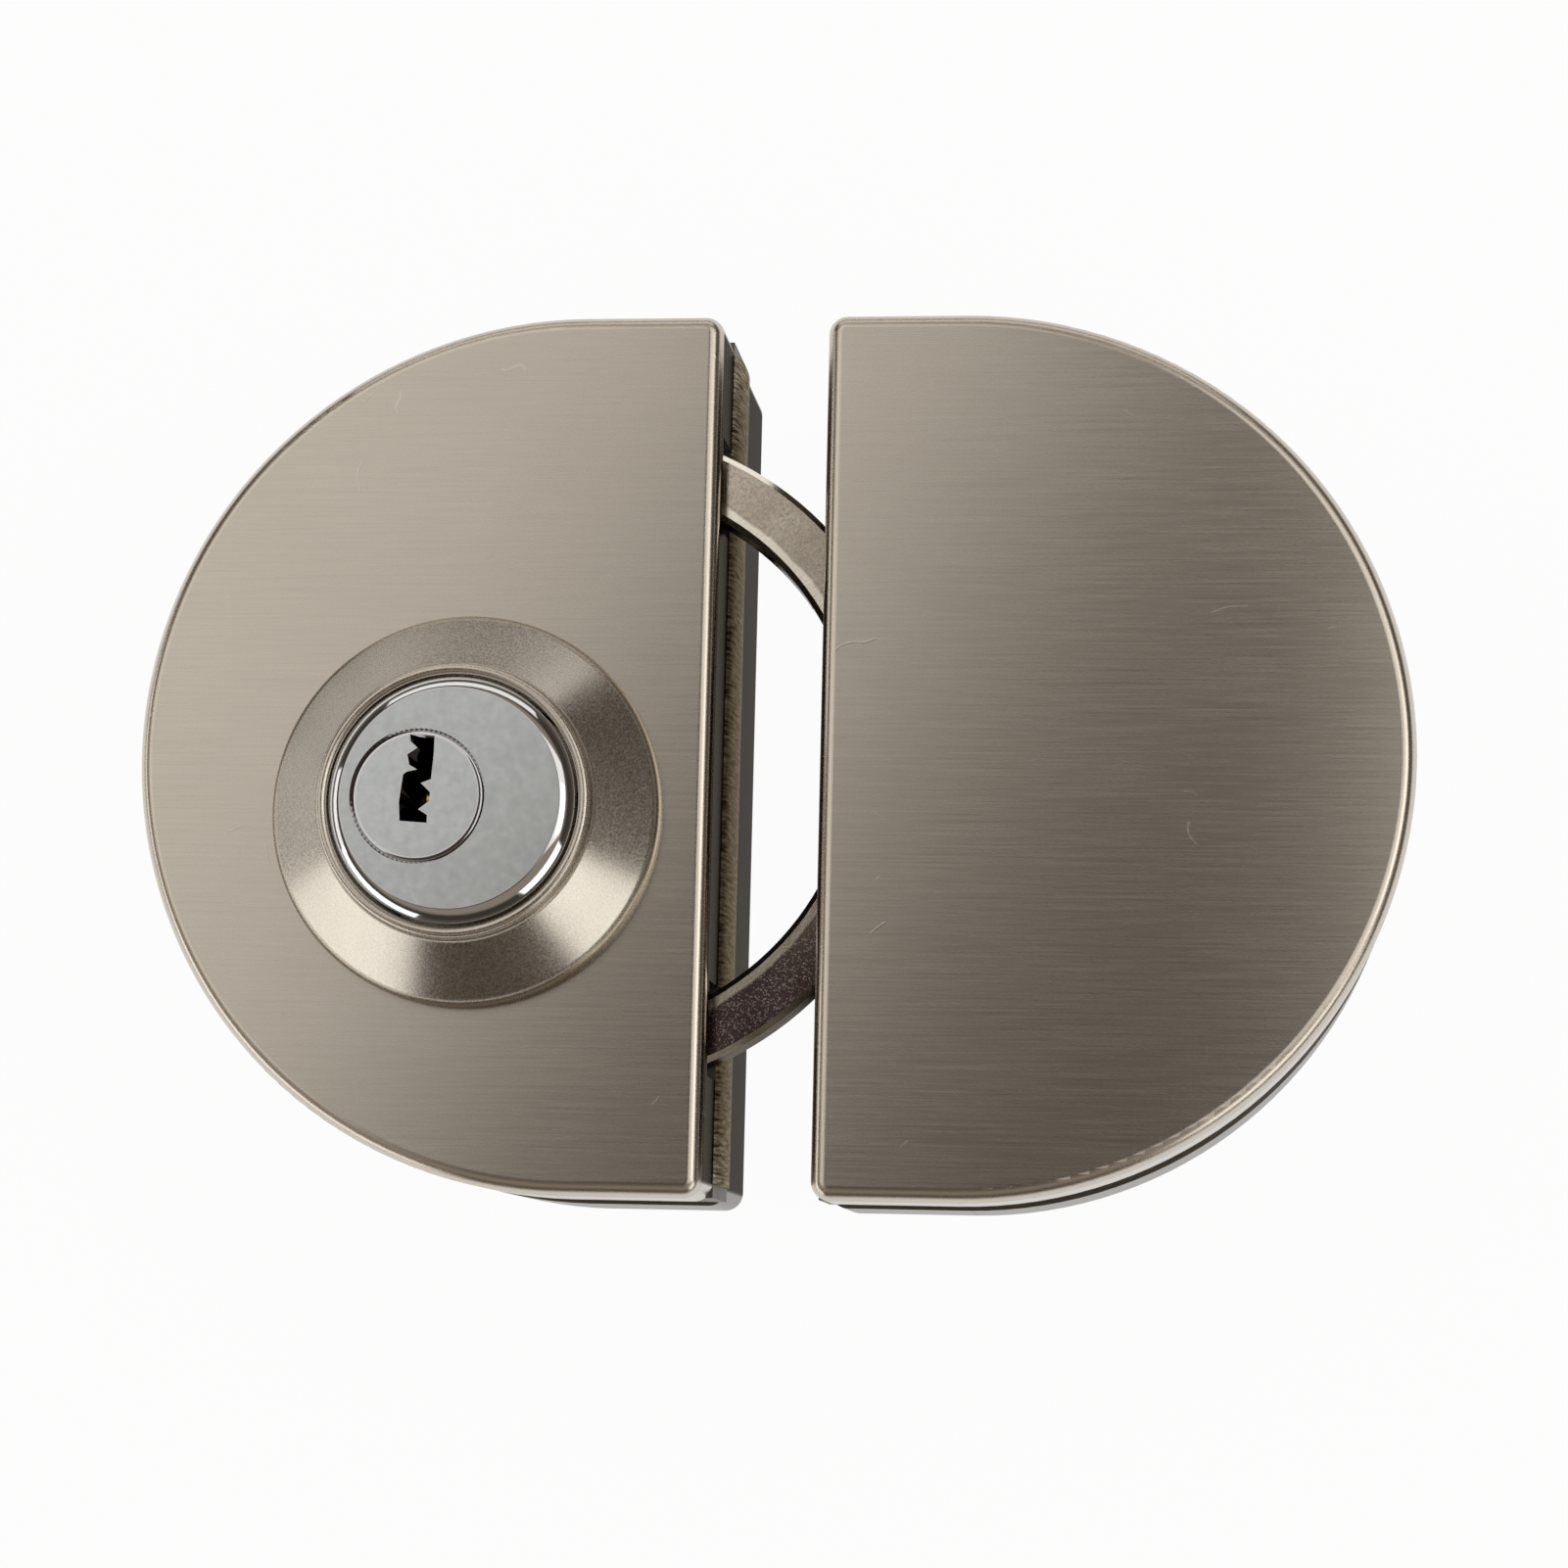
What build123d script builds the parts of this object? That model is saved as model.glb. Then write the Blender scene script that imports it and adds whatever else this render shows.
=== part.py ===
from build123d import *
from math import acos, asin, atan2, cos, degrees, hypot, pi, radians, sin, sqrt, tan
import os

os.makedirs("parts", exist_ok=True)

# A clamp-on lock for a pair of frameless glass leaves, lying on its back.
# X runs from the lock half (negative) to the strike half, Y up the leaf's edge, Z to the front.
# The origin is on the back faces, midway between the two straight sides.

# Both halves
leaf_gap = 11.4
corner_radius = 2.0
bend_radius = 1.6
cover_sheet = 1.0
cover_fit = 0.15

# Layers from the back face to the front face
back_cover_depth = 16.0
glass_thickness = 8.0
pad_thickness = 1.1
case_floor = 1.6
front_cover_depth = 9.8

# Castings
floor_setback = 2.0
back_plate = 3.0
back_wall = 2.5
strip_depth = 7.0
strip_end_gap = 0.4
pad_margin = 3.0
pad_fit = 0.3
case_wall = 4.5
overrun = 1.0

# Turning bolt: it runs round the cylinder, inside the rim of the half circle
bolt_rim = 11.3
bolt_width = 6.5
bolt_hold = 1.8
bolt_thickness = 5.2
bolt_float = 0.2
bolt_edge_chamfer = 0.6
bolt_nose = 1.6
bolt_end_cover = 5.6
track_fit = 0.15
strike_fit = 0.6
strike_play = 0.5
guide_thickness = 2.6
guide_clearance = 0.83
guide_end_gap = 1.2
slot_margin = 1.2
slot_headroom = 1.9
plate_thickness = 1.5

# Gear train from the plug to the bolt's inner teeth
gear_module = 0.8
pressure_angle = 20.0
pinion_teeth = 16
ring_tooth_inset = 1.1
plug_turns = 2
spare_spaces = 2
addendum = 0.64
dedendum = 0.9
ring_addendum = 0.6
flank_play = 0.06
flank_steps = 4
gear_thickness = 2.0
gear_float = 0.1
square_width = 6.0
square_fit = 0.05
idler_pin_radius = 1.6
idler_head_radius = 2.8
idler_head_height = 1.0
idler_boss_radius = 3.4
bearing_fit = 0.05

# Cylinder, plug and pin stacks; the cylinder is placed from the bolt's centre, the plug from the cylinder's
cylinder_distance = 13.12
cylinder_angle = 212.2
cylinder_radius = 13.0
cylinder_proud = 10.0
cylinder_edge_width = 1.4
cylinder_edge_height = 1.2
plug_shift_x = -3.4
plug_shift_y = 0.2
plug_radius = 6.3
plug_collar_step = 0.8
plug_collar_height = 1.6
plug_collar_chamfer = 0.7
plug_fit = 0.05
clip_thickness = 0.8
clip_groove = 1.9
clip_reach = 1.05
clip_grip = 0.9
keyway_depth = 14.6
pin_count = 5
pin_pitch = 2.5
pin_radius = 1.1
pin_fit = 0.05
pin_tip_length = 0.8
pin_tip_radius = 0.55
first_pin_depth = 3.8
key_pin_length = 6.5
driver_pin_length = 3.0
chamber_plug_length = 1.8
chamber_plug_inset = 0.3
spring_wire_radius = 0.17
spring_coils = 5
axial_gap = 0.05

# Escutcheon
escutcheon_radius = 21.0
escutcheon_height = 8.8
escutcheon_fit = 0.35
lip_width = 1.2
neck_flare = 0.85
neck_height = 6.6
rim_height = 0.5
rim_rounding = 1.4
rim_shoulder_height = 1.7
spigot_wall = 1.8

# Screws
clamp_screw_radius = 1.5
clamp_head_radius = 2.6
clamp_head_height = 3.0
clamp_head_recess = 1.6
clamp_socket_width = 2.5
clamp_socket_depth = 1.5
clamp_inset = 4.6
clamp_access_fit = 0.3
clamp_pillar_radius = 2.4
clamp_end_inset = 6.5
lock_clamp_drop = 13.6
strike_clamp_rise = 5.7
small_screw_radius = 1.25
small_head_radius = 2.4
small_screw_length = 4.2
back_screw_radius = 1.5
back_screw_length = 8.0
back_head_radius = 2.8
back_boss_radius = 3.4
back_screw_x = 18.0
back_screw_y = 20.0
thread_fit = 0.05
slot_width = 0.6
slot_depth = 0.5
stud_radius = 2.2
stud_fit = 0.2
stud_angles = (82.0, 145.0, 215.0, 278.0)
plate_screw_angles = (115.0, 180.0, 245.0)
inner_screw_inset = 7.7
inner_screw_angles = (95.0, 290.0)
boss_radius = 2.6
cylinder_screw_inset = 2.4
cylinder_screw_angles = (-40.0, 35.0, 100.0)
cylinder_thread_depth = 2.4
strike_screw_inset = 10.2
strike_screw_drop = 4.0

# Keyway outline round the plug's axis: a dimple key's profile with wards, in shares of its half height
keyway_half_height = 4.6
keyway_shares = (
    (-0.22, 1.41), (0.36, 1.37), (0.36, 1.02), (0.31, 0.38), (0.08, 0.29), (0.30, 0.08), (0.29, -0.12),
    (0.04, -0.31), (0.25, -0.44), (0.25, -0.62), (-0.38, -0.58), (-0.41, -0.14), (-0.34, 0.48),
    (-0.25, 0.55), (-0.02, 0.60), (-0.21, 0.71), (-0.26, 0.94), (-0.03, 1.10), (-0.20, 1.25),
)

# Heights worked out from the layers
back_top = back_cover_depth
slot_top = back_top + glass_thickness + 2 * pad_thickness
floor_top = slot_top + case_floor
front_top = floor_top + front_cover_depth
bolt_base = floor_top + bolt_float
bolt_top = bolt_base + bolt_thickness
plate_base = bolt_top + bolt_float
plate_top = plate_base + plate_thickness
gear_base = bolt_base + gear_float
gear_top = gear_base + gear_thickness
tooth_top = gear_top + gear_float
clip_base = tooth_top + clip_thickness + axial_gap
clip_top = clip_base + clip_thickness
cylinder_base = clip_top + gear_float
cylinder_top = front_top + cylinder_proud

# Radii worked out from the cylinder: its guide, the bolt, the half circle and the straight run beside it
guide_radius = cylinder_distance + cylinder_radius + guide_clearance + guide_thickness
bolt_inner_radius = guide_radius + track_fit
bolt_outer_radius = bolt_inner_radius + bolt_width
track_radius = bolt_outer_radius + track_fit
arc_radius = bolt_outer_radius + bolt_rim
half_height = 2 * arc_radius
straight_run = bolt_inner_radius - bolt_hold - strike_play - cover_sheet - leaf_gap
core_inset = cover_sheet + cover_fit

# Places worked out from them
side_x = leaf_gap / 2
centre_x = side_x + straight_run
bolt_centre = (-centre_x, 0)
cylinder_x = cylinder_distance * cos(radians(cylinder_angle))
cylinder_y = cylinder_distance * sin(radians(cylinder_angle))
plug_x = cylinder_x + plug_shift_x
plug_y = cylinder_y + plug_shift_y
cylinder_centre = (cylinder_x - centre_x, cylinder_y)
plug_centre = (plug_x - centre_x, plug_y)
stud_circle = (track_radius + arc_radius - core_inset) / 2
inner_screw_circle = bolt_inner_radius - inner_screw_inset
cylinder_screw_circle = cylinder_radius - cylinder_screw_inset

# The idler meshes with the plug's pinion and with the bolt's inner teeth
pinion_radius = gear_module * pinion_teeth / 2
bolt_ring_teeth = round(2 * (bolt_inner_radius + ring_tooth_inset) / gear_module)
ring_radius = gear_module * bolt_ring_teeth / 2
pinion_tip = pinion_radius + addendum
pinion_root = pinion_radius - dedendum
ring_tip = ring_radius - ring_addendum
ring_root = ring_radius + dedendum
idler_distance = ring_radius - pinion_radius
plug_distance = hypot(plug_x, plug_y)
plug_angle = degrees(atan2(plug_y, plug_x)) % 360
idler_spread = degrees(acos(
    (plug_distance**2 + idler_distance**2 - (2 * pinion_radius)**2) / (2 * plug_distance * idler_distance)
))
idler_angle = plug_angle + idler_spread
idler_centre = (
    idler_distance * cos(radians(idler_angle)) - centre_x,
    idler_distance * sin(radians(idler_angle)),
)
ring_pitch = 360 / bolt_ring_teeth
pinion_pitch = 360 / pinion_teeth
bolt_travel = plug_turns * 360 * pinion_teeth / bolt_ring_teeth
mesh_angle = degrees(atan2(idler_centre[1] - plug_centre[1], idler_centre[0] - plug_centre[0]))
mesh_offset = (idler_angle - mesh_angle - 180) % pinion_pitch
pinion_phase = mesh_angle - mesh_offset + pinion_pitch / 2

# The bolt crosses the gap when locked and lies inside the lock half when unlocked
exit_angle = degrees(acos(straight_run / bolt_outer_radius))
bolt_start_locked = exit_angle + bolt_end_cover + bolt_travel
bolt_end_locked = 360 - exit_angle - bolt_end_cover + bolt_travel
travelled_spaces = plug_turns * pinion_teeth


# Shared shapes

def wall_crossing(radius, distance):
    """Half the height at which a circle about the bolt's centre crosses a wall."""
    return sqrt(radius**2 - distance**2)


def slot_walls(side):
    """Nearest and furthest distance from the bolt's centre of the cover wall that the bolt passes."""
    if side < 0:
        return straight_run - cover_sheet, straight_run
    return straight_run + leaf_gap - strike_play, straight_run + leaf_gap + cover_sheet + strike_play


def half_outline(side, inset, height):
    """The half-round outline of one half, drawn in by inset; side is -1 for the lock, 1 for the strike."""
    flat = side * (side_x + inset)
    reach = arc_radius - inset
    middle = side * centre_x
    with BuildSketch(Plane.XY.offset(height)) as outline:
        with BuildLine():
            Line((flat, -reach), (flat, reach))
            Line((flat, reach), (middle, reach))
            ThreePointArc((middle, reach), (middle + side * reach, 0), (middle, -reach))
            Line((middle, -reach), (flat, -reach))
        make_face()
        if corner_radius > inset:
            fillet(outline.vertices().group_by(Axis.X)[0 if side > 0 else -1], corner_radius - inset)
    return outline.sketch


def bent_block(side, inset, base, top, rounded_end):
    """A solid of the outline with the bend of the sheet along its front (-1) or back (0) edge."""
    with BuildPart() as block:
        extrude(half_outline(side, inset, base), amount=top - base)
        fillet(block.edges().group_by(Axis.Z)[rounded_end], bend_radius - inset)
    return block.part


def own_circle(side, radius, angles):
    """Points on a circle about the half's own centre; angles are given for the lock half."""
    return [
        (side * (centre_x - radius * cos(radians(angle))), radius * sin(radians(angle)))
        for angle in angles
    ]


def clamp_places(side):
    """Centres of the clamp screws of one half: a pair at the ends and a pair beside the bolt's path."""
    near, far = slot_walls(side)
    if side < 0:
        second_row = wall_crossing(bolt_inner_radius, far) - lock_clamp_drop
    else:
        second_row = wall_crossing(bolt_outer_radius, near) + strike_clamp_rise
    rows = (half_height / 2 - clamp_end_inset, second_row)
    return [(side * (side_x + clamp_inset), sign * row) for row in rows for sign in (-1, 1)]


def sector(centre, inner, outer, start, end, base, height):
    """A curved bar between two radii and two angles."""
    middle = (start + end) / 2
    turns = [radians(angle) for angle in (start, middle, end)]
    far = [(centre[0] + outer * cos(turn), centre[1] + outer * sin(turn)) for turn in turns]
    near = [(centre[0] + inner * cos(turn), centre[1] + inner * sin(turn)) for turn in turns]
    with BuildPart() as bar:
        with BuildSketch(Plane.XY.offset(base)):
            with BuildLine():
                ThreePointArc(far[0], far[1], far[2])
                Line(far[2], near[2])
                ThreePointArc(near[2], near[1], near[0])
                Line(near[0], far[0])
            make_face()
        extrude(amount=height)
    return bar.part


def tooth(teeth, low, high, thin):
    """One involute tooth about the origin, pointing along X; thin comes off each flank."""
    pitch_radius = gear_module * teeth / 2
    base_radius = pitch_radius * cos(radians(pressure_angle))
    pitch_turn = tan(radians(pressure_angle)) - radians(pressure_angle)
    flank = []
    for step in range(flank_steps + 1):
        radius = low + (high - low) * step / flank_steps
        lean = acos(min(base_radius / radius, 1))
        half = pi / (2 * teeth) - thin / pitch_radius + pitch_turn - (tan(lean) - lean)
        flank.append((radius * cos(half), radius * sin(half)))
    lower = [(x, -y) for x, y in flank]
    with BuildSketch() as outline:
        with BuildLine():
            Polyline(*lower, *reversed(flank), close=True)
        make_face()
    return outline.sketch


def spur_gear(centre, phase):
    """A pinion blank with its teeth, before its bore."""
    one = tooth(pinion_teeth, pinion_root - flank_play, pinion_tip, flank_play)
    with BuildPart() as wheel:
        with BuildSketch(Plane.XY.offset(gear_base)):
            with Locations(centre):
                Circle(pinion_root)
                with PolarLocations(0, pinion_teeth, start_angle=phase):
                    add(one)
        extrude(amount=gear_thickness)
    return wheel.part


def countersunk_screws(places, face, length, head, shank, up):
    """Countersunk 90 degree screws with slotted heads flush with a face; up is 1 for a shank towards +Z."""
    depth = head - shank
    with BuildPart() as one:
        with BuildSketch(Plane.XZ):
            with BuildLine():
                Polyline((0, 0), (head, 0), (shank, depth), (shank, length), (0, length), close=True)
            make_face()
        revolve(axis=Axis.Z)
        Box(
            2 * head, slot_width, slot_depth,
            align=(Align.CENTER, Align.CENTER, Align.MIN), mode=Mode.SUBTRACT,
        )
    turned = one.part if up > 0 else one.part.rotate(Axis.X, 180)
    with BuildPart() as group:
        with Locations(*[(x, y, face) for x, y in places]):
            add(turned)
    return group.part


def countersunk_holes(places, face, length, head, shank, up):
    """The matching seats and threaded holes, for the part that carries the screws."""
    depth = head - shank
    with BuildPart() as one:
        with BuildSketch(Plane.XZ):
            with BuildLine():
                Polyline(
                    (0, -overrun), (head + thread_fit, -overrun), (head + thread_fit, 0),
                    (shank + thread_fit, depth), (shank + thread_fit, length), (0, length), close=True,
                )
            make_face()
        revolve(axis=Axis.Z)
    turned = one.part if up > 0 else one.part.rotate(Axis.X, 180)
    with BuildPart() as group:
        with Locations(*[(x, y, face) for x, y in places]):
            add(turned)
    return group.part


def straight_strip(side, base, top):
    """The cast strip along the straight side that faces the other half."""
    with BuildPart() as strip:
        with BuildSketch(Plane.XY.offset(base)):
            with Locations((side * (side_x + strip_depth / 2), 0)):
                Rectangle(strip_depth, half_height - 2 * strip_end_gap)
        extrude(amount=top - base)
    return strip.part


def keep(piece, name):
    """Label a finished piece and write it."""
    piece.label = name
    export_step(piece, f"parts/{name}.step")


# Covers, pads, back castings and their screws, the same on both halves

def front_cover(side):
    """Sheet cover with two slots for the bolt and weld studs inside."""
    studs = own_circle(side, stud_circle, stud_angles)
    near, far = slot_walls(side)
    slot_low = wall_crossing(bolt_inner_radius, far) - slot_margin
    slot_high = wall_crossing(bolt_outer_radius, near) + slot_margin
    wall_x = side * (side_x + cover_sheet / 2)
    with BuildPart() as cover:
        add(bent_block(side, 0, floor_top, front_top, -1))
        add(bent_block(side, cover_sheet, floor_top, front_top - cover_sheet, -1), mode=Mode.SUBTRACT)
        slot_y = (slot_low + slot_high) / 2
        with Locations((wall_x, slot_y, floor_top), (wall_x, -slot_y, floor_top)):
            Box(
                cover_sheet + overrun, slot_high - slot_low, bolt_thickness + slot_headroom,
                align=(Align.CENTER, Align.CENTER, Align.MIN), mode=Mode.SUBTRACT,
            )
        with BuildSketch(Plane.XY.offset(front_top - cover_sheet)):
            with Locations(*studs):
                Circle(stud_radius)
        extrude(amount=floor_top + bolt_float - front_top + cover_sheet)
        with BuildSketch(Plane.XY.offset(floor_top)):
            with Locations(*studs):
                Circle(small_screw_radius + thread_fit)
        extrude(amount=small_screw_length, mode=Mode.SUBTRACT)
    return cover.part


def glass_pad(side, base):
    """A soft pad between the glass and a casting, clear of the strip."""
    strip_x = side * (side_x + strip_depth / 2)
    with BuildPart() as pad:
        extrude(half_outline(side, pad_margin, base), amount=pad_thickness)
        with Locations((strip_x, 0, base - overrun)):
            Box(
                strip_depth + 2 * pad_fit, half_height, pad_thickness + 2 * overrun,
                align=(Align.CENTER, Align.CENTER, Align.MIN), mode=Mode.SUBTRACT,
            )
    return pad.part


def back_cover(side):
    """Deep sheet cover with holes for the clamp screws' heads and countersinks for its own screws."""
    with BuildPart() as cover:
        add(bent_block(side, 0, 0, back_top, 0))
        add(bent_block(side, cover_sheet, cover_sheet, back_top, 0), mode=Mode.SUBTRACT)
        with BuildSketch(Plane.XY):
            with Locations(*clamp_places(side)):
                Circle(clamp_head_radius + clamp_access_fit)
        extrude(amount=cover_sheet, mode=Mode.SUBTRACT)
        add(
            countersunk_holes(back_screw_places(side), 0, back_screw_length, back_head_radius,
                              back_screw_radius, 1),
            mode=Mode.SUBTRACT,
        )
    return cover.part


def back_screw_places(side):
    """Centres of the two screws of a back cover."""
    return [(side * (centre_x + back_screw_x), sign * back_screw_y) for sign in (-1, 1)]


def back_body(side):
    """Cast tray behind the glass with the strip that passes the leaf's edge."""
    plate_bottom = back_top - back_plate
    head_seat = clamp_head_recess + clamp_head_height
    with BuildPart() as body:
        add(bent_block(side, core_inset, core_inset, back_top, 0))
        extrude(
            half_outline(side, core_inset + back_wall, core_inset), amount=plate_bottom - core_inset,
            mode=Mode.SUBTRACT,
        )
        add(straight_strip(side, back_top, slot_top))
        with BuildSketch(Plane.XY.offset(core_inset)):
            with Locations(*clamp_places(side)):
                Circle(clamp_head_radius + clamp_access_fit + cover_sheet)
            with Locations(*back_screw_places(side)):
                Circle(back_boss_radius)
            add(half_outline(side, core_inset + cover_fit, 0), mode=Mode.INTERSECT)
        extrude(amount=plate_bottom - core_inset)
        with BuildSketch(Plane.XY):
            with Locations(*clamp_places(side)):
                Circle(clamp_screw_radius + thread_fit)
        extrude(amount=slot_top, mode=Mode.SUBTRACT)
        with BuildSketch(Plane.XY):
            with Locations(*clamp_places(side)):
                Circle(clamp_head_radius + clamp_access_fit / 2)
        extrude(amount=head_seat, mode=Mode.SUBTRACT)
        add(
            countersunk_holes(back_screw_places(side), 0, back_screw_length, back_head_radius,
                              back_screw_radius, 1),
            mode=Mode.SUBTRACT,
        )
    return body.part


def clamp_screws(side):
    """Socket-head screws that pull the back casting towards the front casting."""
    head_seat = clamp_head_recess + clamp_head_height
    with BuildPart() as screws:
        with Locations(*[(x, y, clamp_head_recess) for x, y in clamp_places(side)]):
            Cylinder(
                clamp_head_radius, clamp_head_height, align=(Align.CENTER, Align.CENTER, Align.MIN)
            )
        with Locations(*[(x, y, head_seat) for x, y in clamp_places(side)]):
            Cylinder(
                clamp_screw_radius, plate_base - head_seat - bolt_float,
                align=(Align.CENTER, Align.CENTER, Align.MIN),
            )
        with BuildSketch(Plane.XY.offset(clamp_head_recess)):
            with Locations(*clamp_places(side)):
                RegularPolygon(clamp_socket_width / 2, 6, major_radius=False)
        extrude(amount=clamp_socket_depth, mode=Mode.SUBTRACT)
    return screws.part


def case_shell(side):
    """Front casting before its own cavities: floor, strip, block under the cover, screw holes."""
    with BuildPart() as case:
        extrude(half_outline(side, floor_setback, slot_top), amount=case_floor)
        add(straight_strip(side, slot_top, floor_top))
        extrude(half_outline(side, core_inset, floor_top), amount=plate_base - floor_top)
    return case.part


def case_holes(side):
    """Holes in the front casting for the clamp screws, the studs and the studs' screws."""
    studs = own_circle(side, stud_circle, stud_angles)
    with BuildPart() as holes:
        with BuildSketch(Plane.XY.offset(slot_top)):
            with Locations(*clamp_places(side)):
                Circle(clamp_screw_radius + thread_fit)
        extrude(amount=plate_base - slot_top)
        with BuildSketch(Plane.XY.offset(floor_top)):
            with Locations(*studs):
                Circle(stud_radius + stud_fit)
        extrude(amount=plate_base - floor_top)
        add(
            countersunk_holes(studs, slot_top, small_screw_length, small_head_radius, small_screw_radius, 1)
        )
    return holes.part


halves = ((-1, "lock"), (1, "strike"))
for side, half in halves:
    keep(back_cover(side), f"{half}_back_cover")
    keep(back_body(side), f"{half}_back_body")
    keep(clamp_screws(side), f"{half}_clamp_screws")
    keep(glass_pad(side, back_top), f"{half}_back_pad")
    keep(glass_pad(side, slot_top - pad_thickness), f"{half}_front_pad")
    keep(
        countersunk_screws(back_screw_places(side), 0, back_screw_length, back_head_radius,
                           back_screw_radius, 1),
        f"{half}_back_screws",
    )
    keep(
        countersunk_screws(own_circle(side, stud_circle, stud_angles), slot_top, small_screw_length,
                           small_head_radius, small_screw_radius, 1),
        f"{half}_cover_screws",
    )


# Lock half: front cover, case and bolt plate

spigot_radius = cylinder_radius + escutcheon_fit + spigot_wall

with BuildPart() as lock_front_cover:
    add(front_cover(-1))
    with BuildSketch(Plane.XY.offset(front_top)):
        with Locations(cylinder_centre):
            Circle(spigot_radius + cover_fit)
    extrude(amount=-cover_sheet, mode=Mode.SUBTRACT)
keep(lock_front_cover.part, "lock_front_cover")

outer_screws = own_circle(-1, stud_circle, plate_screw_angles)
inner_screws = own_circle(-1, inner_screw_circle, inner_screw_angles)
cylinder_screw_places = [
    (
        cylinder_centre[0] + cylinder_screw_circle * cos(radians(angle)),
        cylinder_centre[1] + cylinder_screw_circle * sin(radians(angle)),
    )
    for angle in cylinder_screw_angles
]
cylinder_screw_length = cylinder_base - slot_top + cylinder_thread_depth
guide_start = degrees(acos((straight_run - core_inset) / guide_radius)) + guide_end_gap
idler_reach = degrees(asin(pinion_tip / idler_distance))

with BuildPart() as lock_case:
    add(case_shell(-1))
    with BuildSketch(Plane.XY.offset(floor_top)):
        with Locations(bolt_centre):
            Circle(track_radius)
    extrude(amount=plate_base - floor_top, mode=Mode.SUBTRACT)
    with BuildSketch(Plane.XY.offset(floor_top)):
        with Locations(*inner_screws):
            Circle(boss_radius)
        with Locations(*[place for place in clamp_places(-1) if abs(place[1]) < guide_radius]):
            Circle(clamp_pillar_radius)
    extrude(amount=plate_base - floor_top)
    with BuildSketch(Plane.XY.offset(floor_top)):
        with Locations(*cylinder_screw_places):
            Circle(boss_radius)
    extrude(amount=cylinder_base - floor_top)
    with BuildSketch(Plane.XY.offset(floor_top)):
        with Locations(idler_centre):
            Circle(idler_boss_radius)
    extrude(amount=bolt_float)
    for start, end in (
        (guide_start, plug_angle), (idler_angle + idler_reach + guide_end_gap, 360 - guide_start)
    ):
        add(sector(
            bolt_centre, guide_radius - guide_thickness, guide_radius, start, end, floor_top,
            plate_base - floor_top,
        ))
    add(case_holes(-1), mode=Mode.SUBTRACT)
    add(
        countersunk_holes(cylinder_screw_places, slot_top, cylinder_screw_length, small_head_radius,
                          small_screw_radius, 1),
        mode=Mode.SUBTRACT,
    )
    add(
        countersunk_holes(outer_screws + inner_screws, plate_top, small_screw_length, small_head_radius,
                          small_screw_radius, -1),
        mode=Mode.SUBTRACT,
    )
    with BuildSketch(Plane.XY.offset(slot_top)):
        with Locations(idler_centre):
            Circle(idler_pin_radius + thread_fit)
    extrude(amount=case_floor + bolt_float, mode=Mode.SUBTRACT)
keep(lock_case.part, "lock_case")

with BuildPart() as bolt_plate:
    extrude(half_outline(-1, core_inset, plate_base), amount=plate_thickness)
    with BuildSketch(Plane.XY.offset(plate_base)):
        with Locations(cylinder_centre):
            Circle(cylinder_radius + escutcheon_fit)
        with Locations(*own_circle(-1, stud_circle, stud_angles)):
            Circle(stud_radius + stud_fit)
    extrude(amount=plate_thickness, mode=Mode.SUBTRACT)
    add(
        countersunk_holes(outer_screws + inner_screws, plate_top, small_screw_length, small_head_radius,
                          small_screw_radius, -1),
        mode=Mode.SUBTRACT,
    )
keep(bolt_plate.part, "bolt_plate")

keep(
    countersunk_screws(outer_screws + inner_screws, plate_top, small_screw_length, small_head_radius,
                       small_screw_radius, -1),
    "bolt_plate_screws",
)


# Turning bolt: a C-shaped bar with a smooth front lip and teeth in its back layer

first_space = idler_angle - spare_spaces * ring_pitch
space_count = travelled_spaces + 2 * spare_spaces + 1
teeth_end = idler_angle + (travelled_spaces + spare_spaces + 1 / 2) * ring_pitch
tooth_space = tooth(bolt_ring_teeth, ring_tip - ring_addendum, ring_root, -flank_play)

with BuildPart() as ring_bolt:
    add(sector(
        bolt_centre, bolt_inner_radius, bolt_outer_radius, bolt_start_locked, bolt_end_locked, tooth_top,
        bolt_top - tooth_top,
    ))
    chamfer(ring_bolt.edges().group_by(Axis.Z)[-1].filter_by(GeomType.CIRCLE), bolt_edge_chamfer)
    add(sector(
        bolt_centre, ring_tip, bolt_outer_radius, bolt_start_locked, teeth_end, bolt_base,
        tooth_top - bolt_base,
    ))
    add(sector(
        bolt_centre, bolt_inner_radius, bolt_outer_radius, teeth_end, bolt_end_locked, bolt_base,
        tooth_top - bolt_base,
    ))
    with BuildSketch(Plane.XY.offset(bolt_base)):
        with Locations(bolt_centre):
            with PolarLocations(
                0, space_count, start_angle=first_space, angular_range=(space_count - 1) * ring_pitch,
                endpoint=True,
            ):
                add(tooth_space)
    extrude(amount=tooth_top - bolt_base, mode=Mode.SUBTRACT)
    upright = ring_bolt.edges().filter_by(Axis.Z)
    chamfer(upright.filter_by(lambda edge: edge.length > bolt_thickness / 2), bolt_nose)
keep(ring_bolt.part, "ring_bolt")


# Gears on the plug's tail and on the idler pin

with BuildPart() as drive_gear:
    add(spur_gear(plug_centre, pinion_phase))
    with BuildSketch(Plane.XY.offset(gear_base)):
        with Locations(plug_centre):
            Rectangle(square_width + 2 * square_fit, square_width + 2 * square_fit)
    extrude(amount=gear_thickness, mode=Mode.SUBTRACT)
keep(drive_gear.part, "drive_gear")

with BuildPart() as idler_gear:
    add(spur_gear(idler_centre, idler_angle))
    with BuildSketch(Plane.XY.offset(gear_base)):
        with Locations(idler_centre):
            Circle(idler_pin_radius + bearing_fit)
    extrude(amount=gear_thickness, mode=Mode.SUBTRACT)
keep(idler_gear.part, "idler_gear")

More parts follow.
